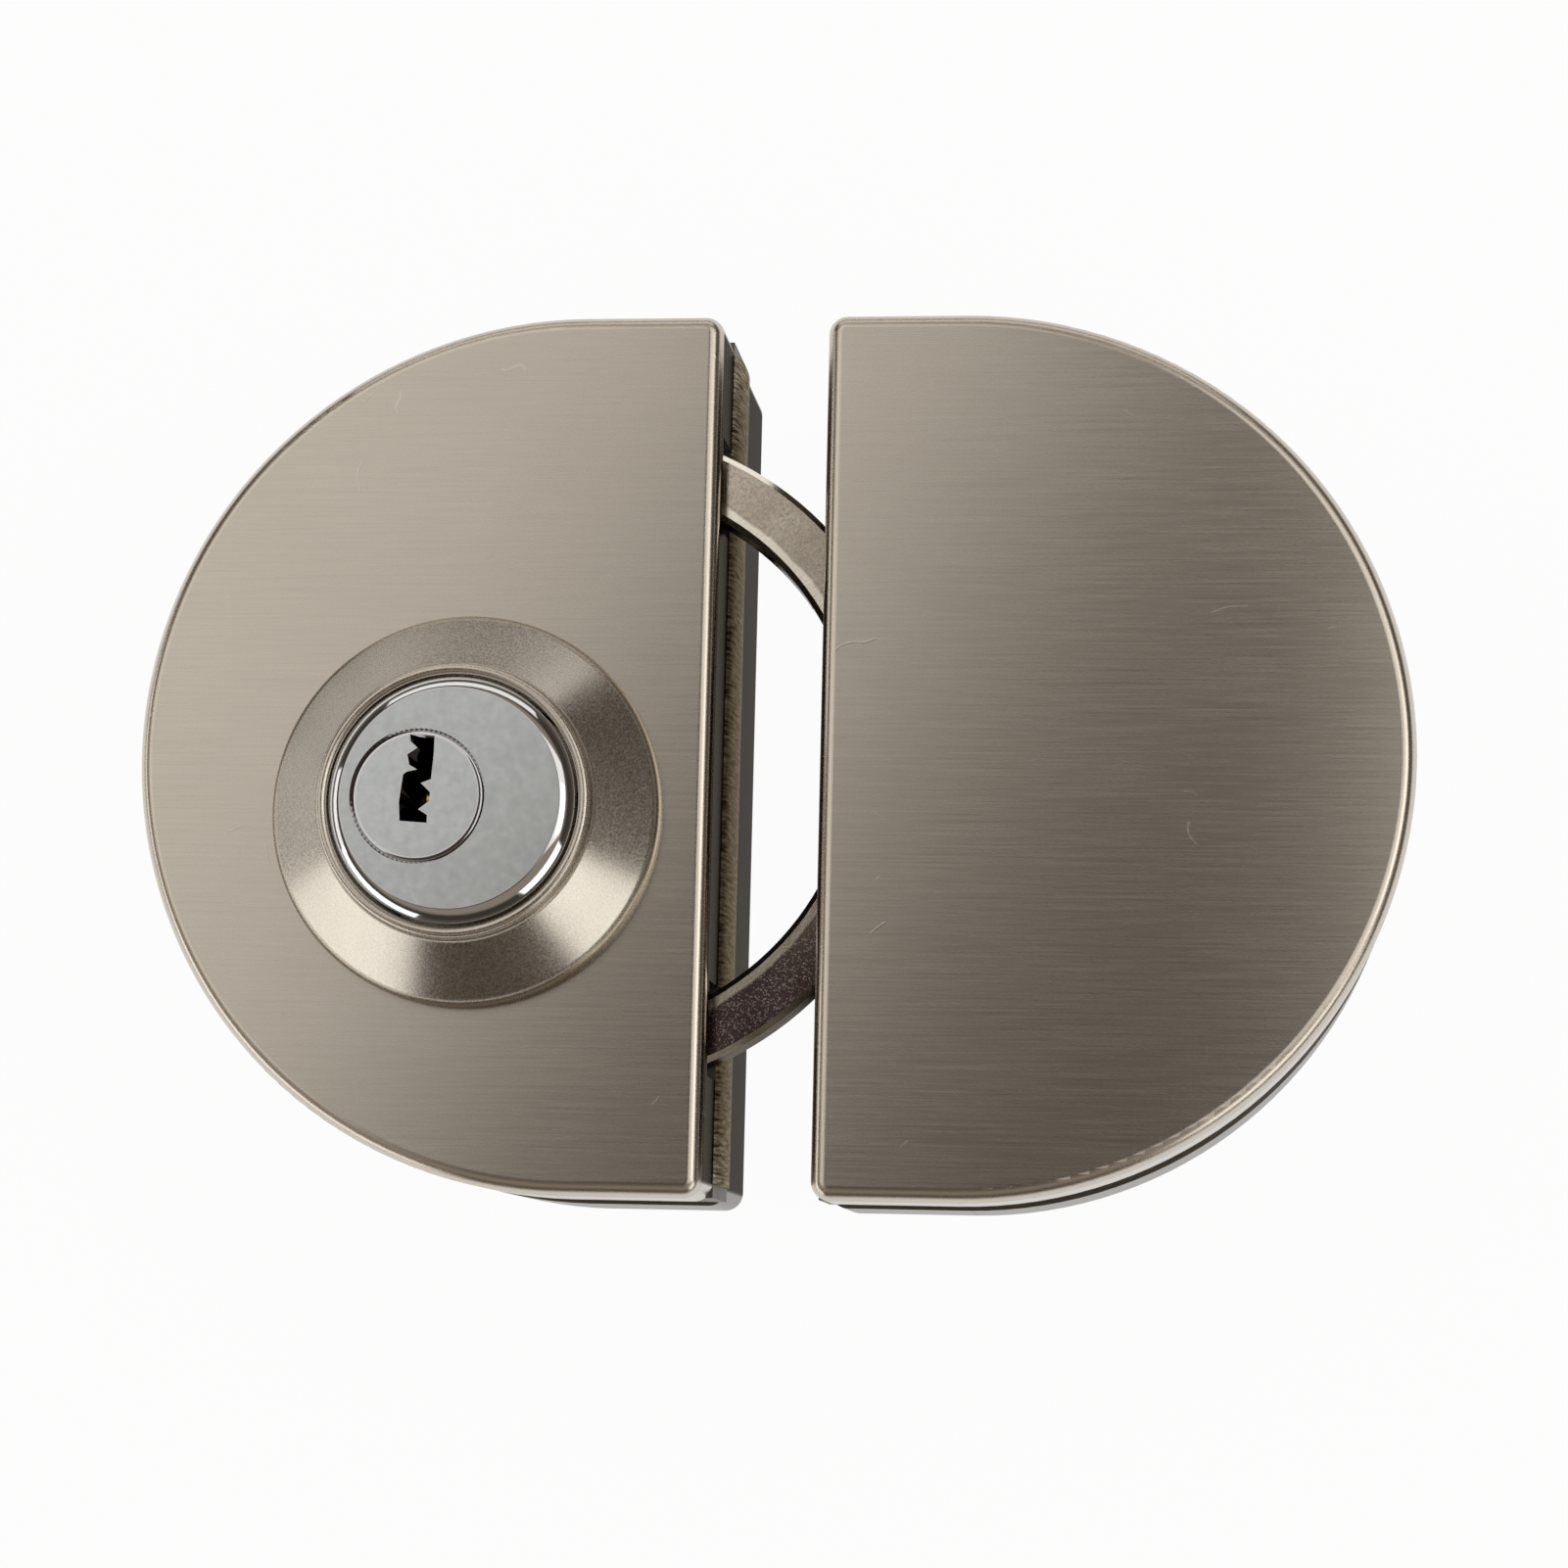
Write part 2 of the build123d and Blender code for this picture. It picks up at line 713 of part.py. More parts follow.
with BuildPart() as idler_pin:
    with Locations((idler_centre[0], idler_centre[1], slot_top)):
        Cylinder(idler_pin_radius, tooth_top - slot_top, align=(Align.CENTER, Align.CENTER, Align.MIN))
    with Locations((idler_centre[0], idler_centre[1], tooth_top)):
        Cylinder(idler_head_radius, idler_head_height, align=(Align.CENTER, Align.CENTER, Align.MIN))
keep(idler_pin.part, "idler_pin")


# Cylinder: housing, plug, clip and pin stacks

plug_collar_radius = plug_radius + plug_collar_step
clip_neck_radius = plug_radius - clip_groove
clip_outer_radius = plug_radius + plug_fit + clip_reach
clip_mouth = 2 * (clip_neck_radius - clip_grip)
pin_heights = [cylinder_top - first_pin_depth - index * pin_pitch for index in range(pin_count)]
shear_x = plug_centre[0] + plug_radius
driver_start = shear_x + plug_fit
spring_start = driver_start + driver_pin_length + axial_gap
chamber_end = cylinder_centre[0] + cylinder_radius - chamber_plug_inset
chamber_plug_start = chamber_end - chamber_plug_length
spring_end = chamber_plug_start - axial_gap


def rods(radius, start, end):
    """A rod along X at each pin height."""
    with BuildPart() as group:
        with BuildSketch(Plane.YZ.offset(start)):
            with Locations(*[(plug_centre[1], height) for height in pin_heights]):
                Circle(radius)
        extrude(amount=end - start)
    return group.part


with BuildPart() as cylinder_body:
    with BuildSketch(Plane.XY.offset(cylinder_base)):
        with Locations(cylinder_centre):
            Circle(cylinder_radius)
    extrude(amount=cylinder_top - cylinder_base)
    chamfer(
        cylinder_body.edges().group_by(Axis.Z)[-1], length=cylinder_edge_height, length2=cylinder_edge_width
    )
    with BuildSketch(Plane.XY.offset(cylinder_base)):
        with Locations(plug_centre):
            Circle(plug_radius + plug_fit)
    extrude(amount=cylinder_top - cylinder_base, mode=Mode.SUBTRACT)
    with BuildSketch(Plane.XY.offset(cylinder_top)):
        with Locations(plug_centre):
            Circle(plug_collar_radius + plug_fit)
    extrude(amount=-plug_collar_height - axial_gap, mode=Mode.SUBTRACT)
    add(rods(pin_radius + pin_fit, plug_centre[0], cylinder_centre[0] + cylinder_radius + overrun),
        mode=Mode.SUBTRACT)
    add(
        countersunk_holes(cylinder_screw_places, slot_top, cylinder_screw_length, small_head_radius,
                          small_screw_radius, 1),
        mode=Mode.SUBTRACT,
    )
keep(cylinder_body.part, "cylinder_body")

keep(
    countersunk_screws(cylinder_screw_places, slot_top, cylinder_screw_length, small_head_radius,
                       small_screw_radius, 1),
    "cylinder_screws",
)

with BuildPart() as cylinder_plug:
    with BuildSketch(Plane.XY.offset(tooth_top)):
        with Locations(plug_centre):
            Circle(plug_radius)
    extrude(amount=cylinder_top - tooth_top)
    with BuildSketch(Plane.XY.offset(cylinder_top - plug_collar_height)):
        with Locations(plug_centre):
            Circle(plug_collar_radius)
    extrude(amount=plug_collar_height)
    chamfer(cylinder_plug.edges().group_by(Axis.Z)[-1], plug_collar_chamfer)
    with BuildSketch(Plane.XY.offset(clip_base)):
        with Locations(plug_centre):
            Circle(plug_radius)
            Circle(clip_neck_radius, mode=Mode.SUBTRACT)
    extrude(amount=clip_thickness + axial_gap, mode=Mode.SUBTRACT)
    with BuildSketch(Plane.XY.offset(bolt_base)):
        with Locations(plug_centre):
            Rectangle(square_width, square_width)
    extrude(amount=tooth_top - bolt_base)
    with BuildSketch(Plane.XY.offset(cylinder_top)):
        with Locations(plug_centre):
            Polygon(*[
                (share_x * keyway_half_height, share_y * keyway_half_height)
                for share_x, share_y in keyway_shares
            ], align=None)
    extrude(amount=-keyway_depth, mode=Mode.SUBTRACT)
    add(rods(pin_radius + pin_fit, plug_centre[0], shear_x + overrun), mode=Mode.SUBTRACT)
keep(cylinder_plug.part, "cylinder_plug")

with BuildPart() as plug_clip:
    with BuildSketch(Plane.XY.offset(clip_base)):
        with Locations(plug_centre):
            Circle(clip_outer_radius)
            Circle(clip_neck_radius + plug_fit, mode=Mode.SUBTRACT)
        with Locations((plug_centre[0], plug_centre[1] + clip_outer_radius / 2)):
            Rectangle(clip_mouth, clip_outer_radius, mode=Mode.SUBTRACT)
    extrude(amount=clip_thickness)
keep(plug_clip.part, "plug_clip")

with BuildPart() as one_key_pin:
    with BuildSketch(Plane.XY):
        with BuildLine():
            Polyline(
                (0, 0), (0, pin_tip_radius), (pin_tip_length, pin_radius), (key_pin_length, pin_radius),
                (key_pin_length, 0), close=True,
            )
        make_face()
    revolve(axis=Axis.X)

with BuildPart() as key_pins:
    with Locations(*[
        (shear_x - 2 * plug_fit - key_pin_length, plug_centre[1], height) for height in pin_heights
    ]):
        add(one_key_pin.part)
keep(key_pins.part, "key_pins")

keep(rods(pin_radius, driver_start, driver_start + driver_pin_length), "driver_pins")
keep(rods(pin_radius, chamber_plug_start, chamber_end), "chamber_plugs")

spring_length = spring_end - spring_start - 2 * spring_wire_radius
spring_radius = pin_radius - spring_wire_radius - pin_fit
with BuildPart() as one_spring:
    with BuildLine() as coil:
        Helix(spring_length / spring_coils, spring_length, spring_radius, direction=(1, 0, 0))
    with BuildSketch(Plane(origin=coil.line @ 0, z_dir=coil.line % 0)):
        RegularPolygon(spring_wire_radius, 6)
    sweep(is_frenet=True)

with BuildPart() as pin_springs:
    with Locations(*[
        (spring_start + spring_wire_radius, plug_centre[1], height) for height in pin_heights
    ]):
        add(one_spring.part)
keep(pin_springs.part, "pin_springs")


# Escutcheon: a turned, flared ring with a spigot that seats on the bolt plate

bore_radius = cylinder_radius + escutcheon_fit
lip_radius = bore_radius + lip_width
neck_radius = lip_radius + neck_flare
rim_shoulder_radius = escutcheon_radius - rim_rounding
base = front_top
with BuildPart() as escutcheon:
    with BuildSketch(Plane.XZ):
        with BuildLine():
            Line((bore_radius, plate_top), (spigot_radius, plate_top))
            Line((spigot_radius, plate_top), (spigot_radius, base))
            Line((spigot_radius, base), (escutcheon_radius, base))
            Line((escutcheon_radius, base), (escutcheon_radius, base + rim_height))
            TangentArc(
                (escutcheon_radius, base + rim_height), (rim_shoulder_radius, base + rim_shoulder_height),
                tangent=(0, 1),
            )
            ThreePointArc(
                (rim_shoulder_radius, base + rim_shoulder_height),
                ((rim_shoulder_radius + neck_radius) / 2,
                 base + (rim_shoulder_height + neck_height) / 2 - rim_height),
                (neck_radius, base + neck_height),
            )
            Line((neck_radius, base + neck_height), (lip_radius, base + escutcheon_height - lip_width / 2))
            ThreePointArc(
                (lip_radius, base + escutcheon_height - lip_width / 2),
                (bore_radius + lip_width / 2, base + escutcheon_height),
                (bore_radius, base + escutcheon_height - lip_width / 2),
            )
            Line((bore_radius, base + escutcheon_height - lip_width / 2), (bore_radius, plate_top))
        make_face()
    revolve(axis=Axis.Z)
escutcheon_part = escutcheon.part.moved(Location((cylinder_centre[0], cylinder_centre[1], 0)))
keep(escutcheon_part, "escutcheon")


# Strike half: front cover, case with the bolt's pocket, plate

keep(front_cover(1), "strike_front_cover")

pocket_inner = bolt_inner_radius - strike_fit
pocket_outer = bolt_outer_radius + strike_fit
strike_screw_x = side_x + strike_screw_inset
strike_screw_row = clamp_places(1)[-1][1] - strike_screw_drop
middle_screw_x = bolt_centre[0] + pocket_outer + case_wall
strike_plate_places = [
    (strike_screw_x, -strike_screw_row), (strike_screw_x, strike_screw_row), (middle_screw_x, 0)
]
strike_plate_width = middle_screw_x + 2 * boss_radius - side_x - core_inset

with BuildPart() as lightening:
    extrude(half_outline(1, core_inset + case_wall, floor_top), amount=plate_base - floor_top)
    with BuildSketch(Plane.XY.offset(floor_top)):
        with Locations(bolt_centre):
            Circle(pocket_outer + case_wall)
        with Locations(*own_circle(1, stud_circle, stud_angles)):
            Circle(stud_radius + stud_fit + case_floor)
        with Locations(*strike_plate_places):
            Circle(boss_radius)
        with Locations(*clamp_places(1)):
            Circle(clamp_pillar_radius)
    extrude(amount=plate_base - floor_top, mode=Mode.SUBTRACT)

with BuildPart() as strike_case:
    add(case_shell(1))
    with BuildSketch(Plane.XY.offset(floor_top)):
        with Locations(bolt_centre):
            Circle(pocket_outer)
            Circle(pocket_inner, mode=Mode.SUBTRACT)
    extrude(amount=plate_base - floor_top, mode=Mode.SUBTRACT)
    add(lightening.part, mode=Mode.SUBTRACT)
    add(case_holes(1), mode=Mode.SUBTRACT)
    add(
        countersunk_holes(strike_plate_places, plate_top, small_screw_length, small_head_radius,
                          small_screw_radius, -1),
        mode=Mode.SUBTRACT,
    )
keep(strike_case.part, "strike_case")

with BuildPart() as strike_plate:
    extrude(half_outline(1, core_inset, plate_base), amount=plate_thickness)
    with Locations((side_x + core_inset + strike_plate_width, 0, plate_base)):
        Box(
            half_height, half_height, plate_thickness, align=(Align.MIN, Align.CENTER, Align.MIN),
            mode=Mode.SUBTRACT,
        )
    with BuildSketch(Plane.XY.offset(plate_base)):
        with Locations(*own_circle(1, stud_circle, stud_angles)):
            Circle(stud_radius + stud_fit)
    extrude(amount=plate_thickness, mode=Mode.SUBTRACT)
    add(
        countersunk_holes(strike_plate_places, plate_top, small_screw_length, small_head_radius,
                          small_screw_radius, -1),
        mode=Mode.SUBTRACT,
    )
keep(strike_plate.part, "strike_plate")

keep(
    countersunk_screws(strike_plate_places, plate_top, small_screw_length, small_head_radius,
                       small_screw_radius, -1),
    "strike_plate_screws",
)

print(f"bolt from {bolt_start_locked:.2f} to {bolt_end_locked:.2f}, travel {bolt_travel:.3f}")
print(f"bolt centre {bolt_centre}, idler {idler_centre} at {idler_angle:.3f}, plug {plug_centre}")
print(f"front {front_top:.2f}, cylinder {cylinder_base:.2f} to {cylinder_top:.2f}")
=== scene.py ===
from math import cos, pi, radians, sin, sqrt

import bmesh
import bpy
from mathutils import Matrix, Vector


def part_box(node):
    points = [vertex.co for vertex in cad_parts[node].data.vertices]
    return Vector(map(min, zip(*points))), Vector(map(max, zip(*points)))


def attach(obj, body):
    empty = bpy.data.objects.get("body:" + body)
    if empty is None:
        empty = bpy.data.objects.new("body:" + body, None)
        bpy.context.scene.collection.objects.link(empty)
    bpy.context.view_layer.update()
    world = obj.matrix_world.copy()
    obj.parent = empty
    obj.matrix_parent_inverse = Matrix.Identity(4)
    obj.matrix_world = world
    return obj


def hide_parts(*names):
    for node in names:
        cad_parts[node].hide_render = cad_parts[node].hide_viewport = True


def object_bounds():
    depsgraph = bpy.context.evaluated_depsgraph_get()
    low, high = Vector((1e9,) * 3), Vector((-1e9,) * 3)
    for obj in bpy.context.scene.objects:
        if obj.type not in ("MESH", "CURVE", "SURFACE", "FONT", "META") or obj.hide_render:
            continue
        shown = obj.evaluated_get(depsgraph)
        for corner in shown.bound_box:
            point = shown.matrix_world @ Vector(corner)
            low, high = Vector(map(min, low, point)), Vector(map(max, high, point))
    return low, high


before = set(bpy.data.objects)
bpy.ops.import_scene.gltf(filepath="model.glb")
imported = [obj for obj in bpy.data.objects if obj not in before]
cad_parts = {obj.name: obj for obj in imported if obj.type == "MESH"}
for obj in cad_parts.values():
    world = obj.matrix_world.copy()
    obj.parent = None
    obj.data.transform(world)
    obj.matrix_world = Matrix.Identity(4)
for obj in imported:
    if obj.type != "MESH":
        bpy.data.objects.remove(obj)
cad_low, cad_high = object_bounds()
scene = bpy.context.scene
mm = 0.001


# The two front covers: deep-drawn steel sheet, a millimetre thick, brushed along the lock's width and
# satin nickel plated. The brushing lines are long and very fine, the walls carry painted shade, most
# of all the straight walls, and each face has a very shallow crown that spreads the light over it.

merge_distance = 0.0005 * mm
flat_angle = 0.2
corner_angle = 32.0
cover_bend = 1.6 * mm
straight_share = 0.9999
along_face_share = 0.9


def merged_copy(node, joined_within=flat_angle):
    """A copy of a CAD node's mesh with its doubles merged and its flat faces joined."""
    shape = bmesh.new()
    shape.from_mesh(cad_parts[node].data)
    bmesh.ops.remove_doubles(shape, verts=shape.verts, dist=merge_distance)
    bmesh.ops.dissolve_limit(
        shape, angle_limit=radians(joined_within), verts=shape.verts, edges=shape.edges, delimit=set()
    )
    return shape


def finished(shape, name, body, stands_for, sharp_over=corner_angle):
    """Turn a bmesh into a shaded piece that rides on its body and stands for its CAD nodes."""
    for face in shape.faces:
        face.smooth = True
    for edge in shape.edges:
        edge.smooth = len(edge.link_faces) == 2 and edge.calc_face_angle(0) < radians(sharp_over)
    mesh = bpy.data.meshes.new(name)
    shape.to_mesh(mesh)
    shape.free()
    piece = bpy.data.objects.new(name, mesh)
    scene.collection.objects.link(piece)
    weighting = piece.modifiers.new("weighting", "WEIGHTED_NORMAL")
    weighting.keep_sharp = True
    weighting.weight = 100
    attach(piece, body)
    if stands_for:
        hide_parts(*stands_for)
    return piece


def smooth_copy(node, name, body, joined_within=flat_angle):
    """A piece with a CAD node's own shape, smooth on its bends and sharp at its corners."""
    return finished(merged_copy(node, joined_within), name, body, (node,))


def true_bends(piece, face_height, side):
    """Shade the bends of a cover from their radius, not from the facets; side tells up from down."""
    mesh = piece.data
    piece.modifiers.clear()
    normals = []
    for face in mesh.polygons:
        straight = max(abs(face.normal.x), abs(face.normal.y)) > straight_share
        for index in face.vertices:
            vert = mesh.vertices[index]
            rise = (side * (vert.co.z - face_height) + cover_bend) / cover_bend
            rise = min(max(rise, 0.0), 1.0)
            level = (face.normal if straight else vert.normal).xy.normalized()
            bent = Vector((*(level * sqrt(1 - rise ** 2)), side * rise))
            normals.append(bent if bent.dot(face.normal) > along_face_share else Vector())
    mesh.normals_split_custom_set(normals)


def node_input(tree, node, socket, value):
    """Set a socket to a value, or link it when the value is another node's output."""
    if isinstance(value, bpy.types.NodeSocket):
        tree.links.new(value, node.inputs[socket])
    else:
        node.inputs[socket].default_value = value


def add_node(tree, kind, settings=None, **inputs):
    """Add a node; inputs are given by socket name with spaces written as underscores."""
    node = tree.nodes.new(kind)
    for key, value in (settings or {}).items():
        setattr(node, key, value)
    for key, value in inputs.items():
        node_input(tree, node, key.replace("_", " "), value)
    return node


def maths(tree, operation, *values):
    """A number worked out from up to three others."""
    node = add_node(tree, "ShaderNodeMath", {"operation": operation})
    for index, value in enumerate(values):
        node_input(tree, node, index, value)
    return node.outputs[0]


def vectors(tree, operation, *values):
    """A vector worked out from up to three others, or the length of one."""
    node = add_node(tree, "ShaderNodeVectorMath", {"operation": operation})
    for index, value in enumerate(values):
        node_input(tree, node, index, value)
    return node.outputs["Value" if operation == "LENGTH" else "Vector"]


def axes(tree, vector):
    """The X, Y and Z outputs of a vector."""
    return add_node(tree, "ShaderNodeSeparateXYZ", Vector=vector).outputs


def ranged(tree, value, low, high, to_low, to_high):
    """Map a value from one range to another."""
    node = add_node(tree, "ShaderNodeMapRange", Value=value)
    limits = {"From Min": low, "From Max": high, "To Min": to_low, "To Max": to_high}
    for socket, number in limits.items():
        node.inputs[socket].default_value = number
    return node.outputs["Result"]


def new_group(name, inputs, outputs):
    """A shader node group with named inputs and outputs, and its two end nodes."""
    group = bpy.data.node_groups.new(name, "ShaderNodeTree")
    for label, kind, value in inputs:
        socket = group.interface.new_socket(label, in_out="INPUT", socket_type=kind)
        if value is not None:
            socket.default_value = value
    for label, kind in outputs:
        group.interface.new_socket(label, in_out="OUTPUT", socket_type=kind)
    return group, group.nodes.new("NodeGroupInput"), group.nodes.new("NodeGroupOutput")


def brushing_group():
    """Long fine lines along one direction, with a slow change of tone over them."""
    group, given, made = new_group(
        "brushing",
        (("Vector", "NodeSocketVector", None), ("Stretch", "NodeSocketVector", (120, 10500, 10500)),
         ("Coarse Stretch", "NodeSocketVector", (70, 4600, 4600)),
         ("Cloud Size", "NodeSocketFloat", 45.0)),
        (("Lines", "NodeSocketFloat"), ("Cloud", "NodeSocketFloat")),
    )
    vector = given.outputs["Vector"]
    fine = add_node(group, "ShaderNodeTexNoise", Scale=1.0, Detail=3.0, Roughness=0.65,
                    Vector=vectors(group, "MULTIPLY", vector, given.outputs["Stretch"]))
    coarse = add_node(group, "ShaderNodeTexNoise", Scale=1.0, Detail=2.0, Roughness=0.5,
                      Vector=vectors(group, "MULTIPLY", vector, given.outputs["Coarse Stretch"]))
    both = maths(group, "ADD", fine.outputs["Fac"], coarse.outputs["Fac"])
    cloud = add_node(group, "ShaderNodeTexNoise", Vector=vector, Scale=given.outputs["Cloud Size"],
                     Detail=2.0)
    group.links.new(maths(group, "MULTIPLY", both, 0.5), made.inputs["Lines"])
    group.links.new(cloud.outputs["Fac"], made.inputs["Cloud"])
    return group


def scratches_group():
    """Sparse thin scratches and specks as one mask."""
    group, given, made = new_group(
        "scratches",
        (("Vector", "NodeSocketVector", None), ("Size", "NodeSocketFloat", 55.0)),
        (("Mask", "NodeSocketFloat"),),
    )
    vector = given.outputs["Vector"]
    wander = add_node(group, "ShaderNodeTexNoise", Vector=vector, Scale=90.0)
    bent = vectors(group, "MULTIPLY_ADD", wander.outputs["Color"], (0.012, 0.012, 0.012), vector)
    cells = add_node(group, "ShaderNodeTexVoronoi", {"feature": "DISTANCE_TO_EDGE"}, Vector=bent,
                     Scale=given.outputs["Size"])
    thin = ranged(group, cells.outputs["Distance"], 0.0, 0.006, 1.0, 0.0)
    where = add_node(group, "ShaderNodeTexNoise", Vector=vector, Scale=170.0, Detail=1.0)
    here = maths(group, "GREATER_THAN", where.outputs["Fac"], 0.66)
    group.links.new(maths(group, "MULTIPLY", thin, here), made.inputs["Mask"])
    return group


brushing = brushing_group()
scratches = scratches_group()


def new_material(name):
    """An empty material with its shader and object coordinates ready."""
    material = bpy.data.materials.new(name)
    material.use_nodes = True
    tree = material.node_tree
    shader = tree.nodes["Principled BSDF"]
    place = tree.nodes.new("ShaderNodeTexCoord")
    return material, tree, shader, place.outputs["Object"]


def use_group(tree, group, vector, **inputs):
    """Place a shared group in a material."""
    node = tree.nodes.new("ShaderNodeGroup")
    node.node_tree = group
    node_input(tree, node, "Vector", vector)
    for key, value in inputs.items():
        node_input(tree, node, key.replace("_", " "), value)
    return node


mix_sockets = {"FLOAT": (0, 2, 3, 0), "VECTOR": (0, 4, 5, 1), "RGBA": (0, 6, 7, 2)}


def mixed(tree, factor, first, second, kind="RGBA"):
    """A mix of two colours, numbers or vectors; the node's sockets share names, so they go by index."""
    node = add_node(tree, "ShaderNodeMix", {"data_type": kind, "clamp_factor": True})
    *takes, gives = mix_sockets[kind]
    for index, value in zip(takes, (factor, first, second)):
        node_input(tree, node, index, value)
    return node.outputs[gives]


def shaded(colour, *shares):
    """A colour with its parts taken down to the given shares, as a socket's value."""
    return (*(part * share for part, share in zip(colour, shares)), 1)


def bumped(tree, height, strength, distance, normal=None):
    """A bump from a height."""
    node = add_node(tree, "ShaderNodeBump", Strength=strength, Distance=distance, Height=height)
    if normal is not None:
        node_input(tree, node, "Normal", normal)
    return node.outputs["Normal"]


def finish(tree, shader, colour, roughness, normal, metallic=1.0):
    """Feed a shader its colour, roughness and normal, and set how metallic it is."""
    shader.inputs["Metallic"].default_value = metallic
    for socket, value in (("Base Color", colour), ("Roughness", roughness), ("Normal", normal)):
        tree.links.new(value, shader.inputs[socket])


cover_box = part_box("strike_front_cover")
cover_middle = (cover_box[0].x + cover_box[1].x) / 2
cover_face = cover_box[1].z
crown_curve = 1.0
no_tint = (1, 1, 1, 1)
curved_wall_painted_shade = (0.24, 0.215, 0.18, 1)
straight_wall_painted_shade = (0.10, 0.088, 0.072, 1)
straight_wall_painted_shade_tint = (0.16, 0.145, 0.125, 1)
scratch_colour = (0.8, 0.78, 0.74, 1)


def brushed_nickel(name, light, dark, roughness, marked, wall_painted_shade_share, painted_shade_on_curved_walls):
    """Satin nickel over brushing along X, with painted shade darkening the walls."""
    material, tree, shader, place = new_material(name)
    brushed = use_group(tree, brushing, place)
    lines = brushed.outputs["Lines"]
    colour = mixed(tree, ranged(tree, lines, 0.30, 0.60, 0.0, 1.0), (*dark, 1), (*light, 1))
    colour = mixed(tree, ranged(tree, brushed.outputs["Cloud"], 0.3, 0.7, 0.0, 0.16), colour,
                   shaded(light, 0.82, 0.80, 0.78))

    facing = add_node(tree, "ShaderNodeNewGeometry").outputs["Normal"]
    slope = axes(tree, facing)
    upright = maths(tree, "ABSOLUTE", slope["Z"])
    # Painted shade: the walls get a darker colour, and the straight walls also get dimmed reflections
    # through a specular tint.
    colour = mixed(tree, ranged(tree, upright, 0.05, 0.4, wall_painted_shade_share, 0.0), colour, curved_wall_painted_shade)
    straight = ranged(tree, maths(tree, "ABSOLUTE", slope["X"]), 0.97, 0.999, painted_shade_on_curved_walls, 1.0)
    colour = mixed(tree, straight, colour, straight_wall_painted_shade)
    tree.links.new(mixed(tree, straight, no_tint, straight_wall_painted_shade_tint), shader.inputs["Specular Tint"])

    across = axes(tree, place)["X"]
    middle = maths(tree, "MULTIPLY", maths(tree, "SIGN", across), cover_middle)
    tilt = maths(tree, "MULTIPLY", maths(tree, "SUBTRACT", across, middle), crown_curve)
    leaning = add_node(tree, "ShaderNodeCombineXYZ", X=tilt).outputs[0]
    crowned = vectors(tree, "NORMALIZE", vectors(tree, "ADD", facing, leaning))
    normal = bumped(tree, lines, strength=0.05, distance=0.012 * mm, normal=crowned)
    if marked:
        marks = use_group(tree, scratches, place).outputs["Mask"]
        colour = mixed(tree, ranged(tree, marks, 0, 1, 0.0, 0.35), colour, scratch_colour)
        normal = bumped(tree, marks, strength=0.3, distance=0.02 * mm, normal=normal)

    shader.inputs["Anisotropic"].default_value = 0.55
    tree.links.new(add_node(tree, "ShaderNodeCombineXYZ", Y=1.0).outputs[0], shader.inputs["Tangent"])
    finish(tree, shader, colour, ranged(tree, lines, 0.3, 0.7, roughness - 0.02, roughness + 0.03),
           normal)
    return material


def coat(piece, material):
    """Give a piece one material."""
    piece.data.materials.clear()
    piece.data.materials.append(material)


front_finish = brushed_nickel("satin nickel front", light=(0.63, 0.575, 0.495), dark=(0.55, 0.495, 0.42),
                              roughness=0.26, marked=True, wall_painted_shade_share=0.6, painted_shade_on_curved_walls=0.0)
for half in ("lock", "strike"):
    cover = smooth_copy(f"{half}_front_cover", f"{half}_front", f"{half}_half",
                        joined_within=0.01)
    true_bends(cover, cover_face, 1)
    coat(cover, front_finish)


# The two back covers: the same sheet, deeper, with holes for the clamp screws. They see less hand
# polish, so they are rougher than the fronts. Their colour is a shade darker, and the painted shade
# on their walls is deeper and reaches the curved walls too.

back_finish = brushed_nickel("satin nickel back", light=(0.54, 0.50, 0.435), dark=(0.46, 0.425, 0.365),
                             roughness=0.30, marked=False, wall_painted_shade_share=0.8, painted_shade_on_curved_walls=0.35)
for half in ("lock", "strike"):
    cover = smooth_copy(f"{half}_back_cover", f"{half}_back", f"{half}_half")
    true_bends(cover, 0, -1)
    coat(cover, back_finish)


# The escutcheon: a ring turned from brass bar and satin nickel plated, so its marks run round it.
# It is pressed through the front cover and its thin lip stands round the cylinder. The rim is
# rounded over, the flank is straight, and a small hollow leads up to the lip.

def grain_group():
    """An even random grain, the base of every rough or mottled skin."""
    group, given, made = new_group(
        "grain",
        (("Vector", "NodeSocketVector", None), ("Fineness", "NodeSocketFloat", 900.0),
         ("Detail", "NodeSocketFloat", 3.0), ("Roughness", "NodeSocketFloat", 0.5)),
        (("Height", "NodeSocketFloat"),),
    )
    noise = add_node(group, "ShaderNodeTexNoise", Vector=given.outputs["Vector"],
                     Scale=given.outputs["Fineness"], Detail=given.outputs["Detail"],
                     Roughness=given.outputs["Roughness"])
    group.links.new(noise.outputs["Fac"], made.inputs["Height"])
    return group


def round_axis_group():
    """How far a point lies from an upright axis, and the level direction away from it."""
    group, given, made = new_group(
        "round an axis",
        (("Vector", "NodeSocketVector", None), ("Axis", "NodeSocketVector", (0, 0, 0))),
        (("Reach", "NodeSocketFloat"), ("Outward", "NodeSocketVector")),
    )
    away = vectors(group, "SUBTRACT", given.outputs["Vector"], given.outputs["Axis"])
    level = vectors(group, "MULTIPLY", away, (1, 1, 0))
    group.links.new(vectors(group, "LENGTH", level), made.inputs["Reach"])
    group.links.new(vectors(group, "NORMALIZE", level), made.inputs["Outward"])
    return group


grain = grain_group()
round_axis = round_axis_group()


def grained(tree, vector, fineness, detail=3.0, roughness=0.5):
    """The height of the shared grain at a size of its own."""
    return use_group(tree, grain, vector, Fineness=fineness, Detail=detail,
                     Roughness=roughness).outputs["Height"]


